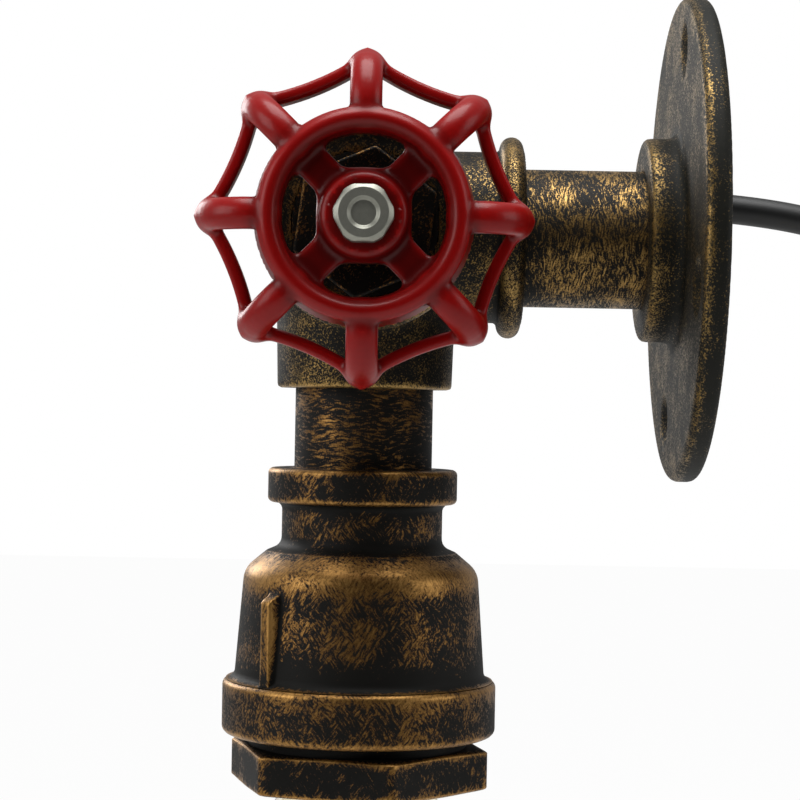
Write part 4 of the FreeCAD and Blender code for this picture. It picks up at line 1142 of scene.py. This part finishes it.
@dataclass
class HexBush:
    """Hexagon bush screwed into the socket's mouth."""

    across: float = 44.4
    turn_degrees: float = 15.5
    top: float = -97.5
    bottom: float = -105.3
    thread: float = 20.95
    thread_top: float = -83.4
    bore: float = 18.0

    def build(self, finish: Palette) -> None:
        """Turn the bush; rows of the head are stretched from a circle to the hexagon."""
        flat = self.across / 2
        profile = rounded([
            (self.bore, self.bottom, 0.4), (flat, self.bottom, 0.7), (flat, self.top, 0.7),
            (self.thread, self.top), (self.thread, self.thread_top, 0.4), (self.bore, self.thread_top)],
            run=0.8)

        def relief(radius: np.ndarray, height: np.ndarray, around: np.ndarray) -> np.ndarray:
            share = np.clip((radius - self.thread) / (flat - self.thread), 0, 1)
            share = np.where(height <= self.top + 1e-6, share, 0)
            stretch = hexagon_radius(self.across, around, self.turn_degrees, 90) / flat
            return radius * (1 + (stretch - 1) * share)

        piece = turn("hex_bush_casting", profile, Axis.DROP, columns=240, relief=relief)
        store_wear_and_painted_light(piece)
        dress(piece, finish.bush, "fixture", "bronzed_iron", "hex_bush")


# ------------------------------------------------------------------ bulb


@dataclass
class Bulb:
    """Pear-shaped filament bulb: rolled screw cap, tinted envelope, stem and filaments."""

    cap_radius: float = 13.05
    cap_wall: float = 0.5
    cap_top: float = -80.95
    cap_bottom: float = -103.95
    thread_top: float = -82.6
    thread_bottom: float = -96.0
    pitch: float = 3.62
    thread_depth: float = 0.55
    hex_bottom: float = -105.3
    wall: float = 0.9
    seat_drop: float = -8.35
    neck: tuple[float, float] = (12.45, -1.35)
    throat: tuple[float, float] = (14.6, 1.6)
    shoulder: tuple[float, float] = (17.6, 7.8)
    shoulder_rise: float = 0.4
    flank: tuple[float, float] = (30.0, 67.3)
    belly: tuple[float, float] = (32.0, 86.3)
    belly_rise: float = 0.48
    bowl_bend: float = 26.2
    bowl_turn: float = 1.19
    base: tuple[float, float] = (6.2, 113.7)
    base_rise: float = 0.38
    nib: tuple[float, float] = (3.6, 114.6)
    nib_hollow: float = -0.1
    nib_rise: float = 0.28
    tip_drop: float = 115.7
    floor_drop: float = 112.6
    floor_radius: float = 0.5

    def cap(self, finish: Palette) -> None:
        """Roll the cap: its radius follows a cosine helix between the thread's two ends."""
        inner = self.cap_radius - self.cap_wall
        profile = rounded([
            (inner, self.cap_bottom), (self.cap_radius, self.cap_bottom, 0.2),
            (self.cap_radius, self.cap_top - 1.0, 0.9), (self.cap_radius - 1.0, self.cap_top, 0.2),
            (inner - 1.0, self.cap_top), (inner, self.cap_top - 1.0)], run=0.22)

        def relief(radius: np.ndarray, height: np.ndarray, around: np.ndarray) -> np.ndarray:
            fade = np.clip((height - self.thread_bottom) / 1.5, 0, 1)
            fade *= np.clip((self.thread_top - height) / 1.2, 0, 1)
            wave = 0.5 * np.cos(2 * math.pi * height / self.pitch + around) - 0.5
            return radius + self.thread_depth * fade * wave * (radius > inner - 0.3)

        piece = turn("bulb_cap_rolled", profile, Axis.DROP, columns=96, relief=relief)
        dress(piece, finish.nickel, "bulb", "nickel", "bulb_cap")

    def side(self) -> np.ndarray:
        """Outer wall from the seat to the belly, its corners eased by a moving mean."""
        corners = np.concatenate([
            [(self.neck[0], self.seat_drop), self.neck],
            bowed(self.throat, self.shoulder, self.shoulder_rise),
            bowed(self.flank, self.belly, self.belly_rise)])
        drop = np.linspace(self.seat_drop, self.belly[1], 90)
        radius = np.interp(drop, corners[:, 1], corners[:, 0])
        window = np.hanning(9)
        radius[4:-4] = np.convolve(radius, window / window.sum(), mode="valid")
        return np.stack([radius, drop], axis=1)

    def bottom(self) -> np.ndarray:
        """Round bowl, a flatter run to the middle and the sealed nib."""
        angle = np.linspace(0, self.bowl_turn, 28)[1:]
        bowl = np.stack([self.belly[0] - self.bowl_bend * (1 - np.cos(angle)),
                         self.belly[1] + self.bowl_bend * np.sin(angle)], axis=1)
        return np.concatenate([
            bowl, bowed(tuple(bowl[-1]), self.base, self.base_rise, 3)[1:],
            bowed(self.base, self.nib, self.nib_hollow, 2)[1:],
            bowed(self.nib, (0.0, self.tip_drop), self.nib_rise, 3)[1:]])

    def envelope(self, finish: Palette) -> None:
        """Blow the envelope: an outer wall, and an inner one beside it at the wall's thickness."""
        outer = np.concatenate([self.side(), self.bottom()])
        slope = np.gradient(outer, axis=0)
        slope /= np.linalg.norm(slope, axis=1, keepdims=True)
        inner = outer + self.wall * np.stack([-slope[:, 1], slope[:, 0]], axis=1)
        inner = inner[inner[:, 0] > self.floor_radius]
        inner[:, 1] = np.minimum(inner[:, 1], self.floor_drop)
        floor = np.array([(0.0, inner[-1, 1])])
        track = np.concatenate([outer[::-1], inner, floor])
        track[:, 1] = self.hex_bottom - track[:, 1]
        piece = turn("bulb_envelope", track, Axis.DROP, closed=False, columns=144)
        dress(piece, finish.amber, "bulb", "amber_glass", "bulb_glass")

    def build(self, finish: Palette) -> None:
        """Make the bulb's own pieces and finish its plain nodes."""
        self.cap(finish)
        self.envelope(finish)
        paint_node("cap_insulator", finish.insulator)
        paint_node("cap_contact", finish.brass)
        paint_node("driver_board", finish.board)
        paint_node("glass_stem", finish.clear)
        for name in ("upper_spider", "lower_spider", "live_lead", "neutral_lead"):
            paint_node(name, finish.nickel)
        for number in range(1, 5):
            paint_node(f"led_filament_{number}", finish.phosphor)


# ------------------------------------------------------------------ wiring


@dataclass
class Wiring:
    """The flex's tail behind the plate and its three stripped cores."""

    diameter: float = 5.6
    route: tuple[tuple[float, float, float], ...] = (
        (0.0, 0.0, 6.8), (0.0, 16.0, 5.92), (0.8, 34.0, 0.5), (2.0, 48.0, -14.0), (3.0, 54.0, -36.0),
        (2.2, 54.5, -62.0), (0.5, 52.0, -90.0), (-0.6, 49.5, -114.0))
    length: float = 155.0

    def build(self, finish: Palette) -> None:
        """Draw the cord along its route and dress it."""
        line = bpy.data.curves.new("cord_tail", "CURVE")
        line.dimensions = "3D"
        line.resolution_u = 16
        line.bevel_depth = self.diameter / 2 * MM
        line.bevel_resolution = 8
        line.use_fill_caps = True
        spline = line.splines.new("NURBS")
        spline.points.add(len(self.route) - 1)
        for point, spot in zip(spline.points, self.route):
            point.co = (*(value * MM for value in spot), 1.0)
        spline.order_u = 3
        spline.use_endpoint_u = True
        cord = bpy.data.objects.new("cord_tail", line)
        bpy.context.scene.collection.objects.link(cord)
        dress(cord, finish.sheath, "fixture", "cord_sheath", "mains_cord")


# ------------------------------------------------------------------ studio


@dataclass
class Studio:
    """White sweep, soft lamps and the camera at the photograph's angle."""

    camera_spot: tuple[float, float, float] = (432.2, -57.6, -32.8)
    yaw: float = -0.002
    pitch: float = 0.003
    roll: float = 0.0185
    focal_pixels: float = 2247.0
    frame_pixels: float = 800.0
    sensor_mm: float = 36.0
    floor_level: float = -270.0  # clear of the bulb's tip, at -256 when it is drawn out
    flag_distance: float = 0.8
    flag_half: float = 1.4

    def camera(self) -> None:
        """Aim the camera down -X, turned by yaw, pitch and roll, with the photograph's focal length."""
        data = bpy.data.cameras.new("product_camera")
        data.sensor_width = self.sensor_mm
        data.lens = self.focal_pixels / self.frame_pixels * self.sensor_mm
        data.clip_start = 0.01
        camera = bpy.data.objects.new("product_camera", data)
        turned = (Matrix.Rotation(self.yaw, 3, "Z") @ Matrix.Rotation(self.pitch, 3, "Y")
                  @ Matrix.Rotation(self.roll, 3, "X"))
        ahead, right, up = (turned @ Vector(v) for v in ((-1, 0, 0), (0, 1, 0), (0, 0, 1)))
        aim = Matrix((right, up, -ahead)).transposed().to_4x4()
        camera.matrix_world = Matrix.Translation(Vector(self.camera_spot) * MM) @ aim
        bpy.context.scene.collection.objects.link(camera)
        bpy.context.scene.camera = camera

    def lamp(self, name: str, spot: tuple[float, float, float], target: tuple[float, float, float],
             size: float, power: float) -> None:
        """Hang one square soft lamp and aim it at a target.

        Args:
            name: Name of the lamp.
            spot: Its place, in metres.
            target: The point it faces.
            size: Side length in metres.
            power: Watts.
        """
        data = bpy.data.lights.new(name, "AREA")
        data.size = size
        data.energy = power
        lamp = bpy.data.objects.new(name, data)
        lamp.location = spot
        lamp.rotation_euler = (Vector(target) - Vector(spot)).to_track_quat("-Z", "Y").to_euler()
        bpy.context.scene.collection.objects.link(lamp)

    def sweep(self) -> None:
        """Lay the floor: white to camera, mirror and glass rays, with a soft shadow left in."""
        material, tree = blank_material("white_sweep")
        path = add_node(tree, "ShaderNodeLightPath")
        seen = add_node(tree, "ShaderNodeMath", {
            0: path.outputs["Is Camera Ray"], 1: path.outputs["Is Transmission Ray"]}, operation="MAXIMUM")
        seen = add_node(tree, "ShaderNodeMath", {
            0: path.outputs["Is Glossy Ray"], 1: 0.35, 2: seen.outputs[0]}, operation="MULTIPLY_ADD")
        share = add_node(tree, "ShaderNodeMath", {0: seen.outputs[0], 1: 0.97}, operation="MULTIPLY")
        paper = add_node(tree, "ShaderNodeBsdfDiffuse", {"Color": linear("#f2f2f0")})
        glow = add_node(tree, "ShaderNodeEmission", {"Color": linear("#ffffff"), "Strength": 1.0})
        both = add_node(tree, "ShaderNodeMixShader", {
            0: share.outputs[0], 1: paper.outputs[0], 2: glow.outputs[0]})
        close_material(tree, both)
        corners = np.array([(-1, -1), (1, -1), (1, 1), (-1, 1)], dtype=float) * 3.0
        points = np.column_stack([corners, np.full(4, self.floor_level * MM)])
        floor = lay_mesh("studio_floor", points, np.array([[0, 1, 2, 3]]))
        floor.data.materials.append(material)

    def flag(self) -> None:
        """Stand a black card behind the camera, so that surfaces that face it reflect the dark."""
        material, tree = blank_material("black_card")
        close_material(tree, add_node(tree, "ShaderNodeBsdfDiffuse", {"Color": linear("#050505")}))
        corners = np.array([(-1, -1), (1, -1), (1, 1), (-1, 1)], dtype=float) * self.flag_half
        points = np.column_stack([np.full(4, self.flag_distance), corners])
        card = lay_mesh("black_card", points, np.array([[0, 1, 2, 3]]))
        card.data.materials.append(material)
        card.visible_camera = False

    def air(self) -> None:
        """Light the room evenly, and show white where the camera, mirrors and glass look."""
        world = bpy.data.worlds.new("studio_air")
        world.use_nodes = True
        bpy.context.scene.world = world
        tree = world.node_tree
        tree.nodes.clear()
        path = add_node(tree, "ShaderNodeLightPath")
        seen = add_node(tree, "ShaderNodeMath", {
            0: path.outputs["Is Camera Ray"], 1: path.outputs["Is Transmission Ray"]}, operation="MAXIMUM")
        seen = add_node(tree, "ShaderNodeMath", {
            0: path.outputs["Is Glossy Ray"], 1: 0.3, 2: seen.outputs[0]}, operation="MULTIPLY_ADD")
        strength = add_node(tree, "ShaderNodeMapRange", {
            "Value": seen.outputs[0], "To Min": 0.18, "To Max": 1.0})
        glow = add_node(tree, "ShaderNodeBackground", {
            "Color": linear("#ffffff"), "Strength": strength.outputs[0]})
        add_node(tree, "ShaderNodeOutputWorld", {"Surface": glow.outputs[0]})

    def build(self) -> None:
        """Set up camera, floor, card, air and lamps."""
        self.camera()
        self.sweep()
        self.flag()
        self.air()
        target = (0.0, -0.05, -0.05)
        self.lamp("top_lamp", (0.12, -0.05, 0.55), target, 0.45, 5.5)
        self.lamp("left_lamp", (0.3, -0.6, 0.15), target, 0.4, 1.8)
        self.lamp("right_lamp", (0.2, 0.6, 0.15), target, 0.4, 1.0)
        self.lamp("back_lamp", (-0.5, -0.5, 0.2), target, 0.3, 2.0)
        scene = bpy.context.scene
        scene.view_settings.view_transform = "Standard"


def finish_small_nodes(finish: Palette) -> None:
    """Give the plain inner nodes their finishes."""
    for name in ("bolt_nut", "wheel_washer", "hanger_washer", "hollow_stud", "upper_stud_nut",
                 "lower_stud_nut"):
        paint_node(name, finish.zinc)
    for name in ("earth_tag", "screw_shell", "centre_contact", "live_terminal", "neutral_terminal"):
        paint_node(name, finish.brass)
    for name in ("lampholder_body", "contact_block"):
        paint_node(name, finish.phenolic)
    paint_node("inner_flex", finish.sheath)
    paint_node("live_core", finish.brown)
    paint_node("neutral_core", finish.blue)
    paint_node("earth_core", finish.earth)
    paint_node("tail_cores", finish.brown)


def main() -> None:
    """Build the light and its studio in order."""
    logging.basicConfig(level=logging.INFO, format="%(name)s: %(message)s")
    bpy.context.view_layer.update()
    Studio().build()
    finish = Palette()
    Wiring().build(finish)
    WallPlate().build(finish)
    Pipes().build(finish)
    SideOutletElbow().build(finish)
    PortPlug().build(finish)
    WheelBolt().build(finish)
    Handwheel().build(finish)
    ReducingSocket().build(finish)
    HexBush().build(finish)
    Bulb().build(finish)
    finish_small_nodes(finish)


if __name__ == "__main__":
    main()
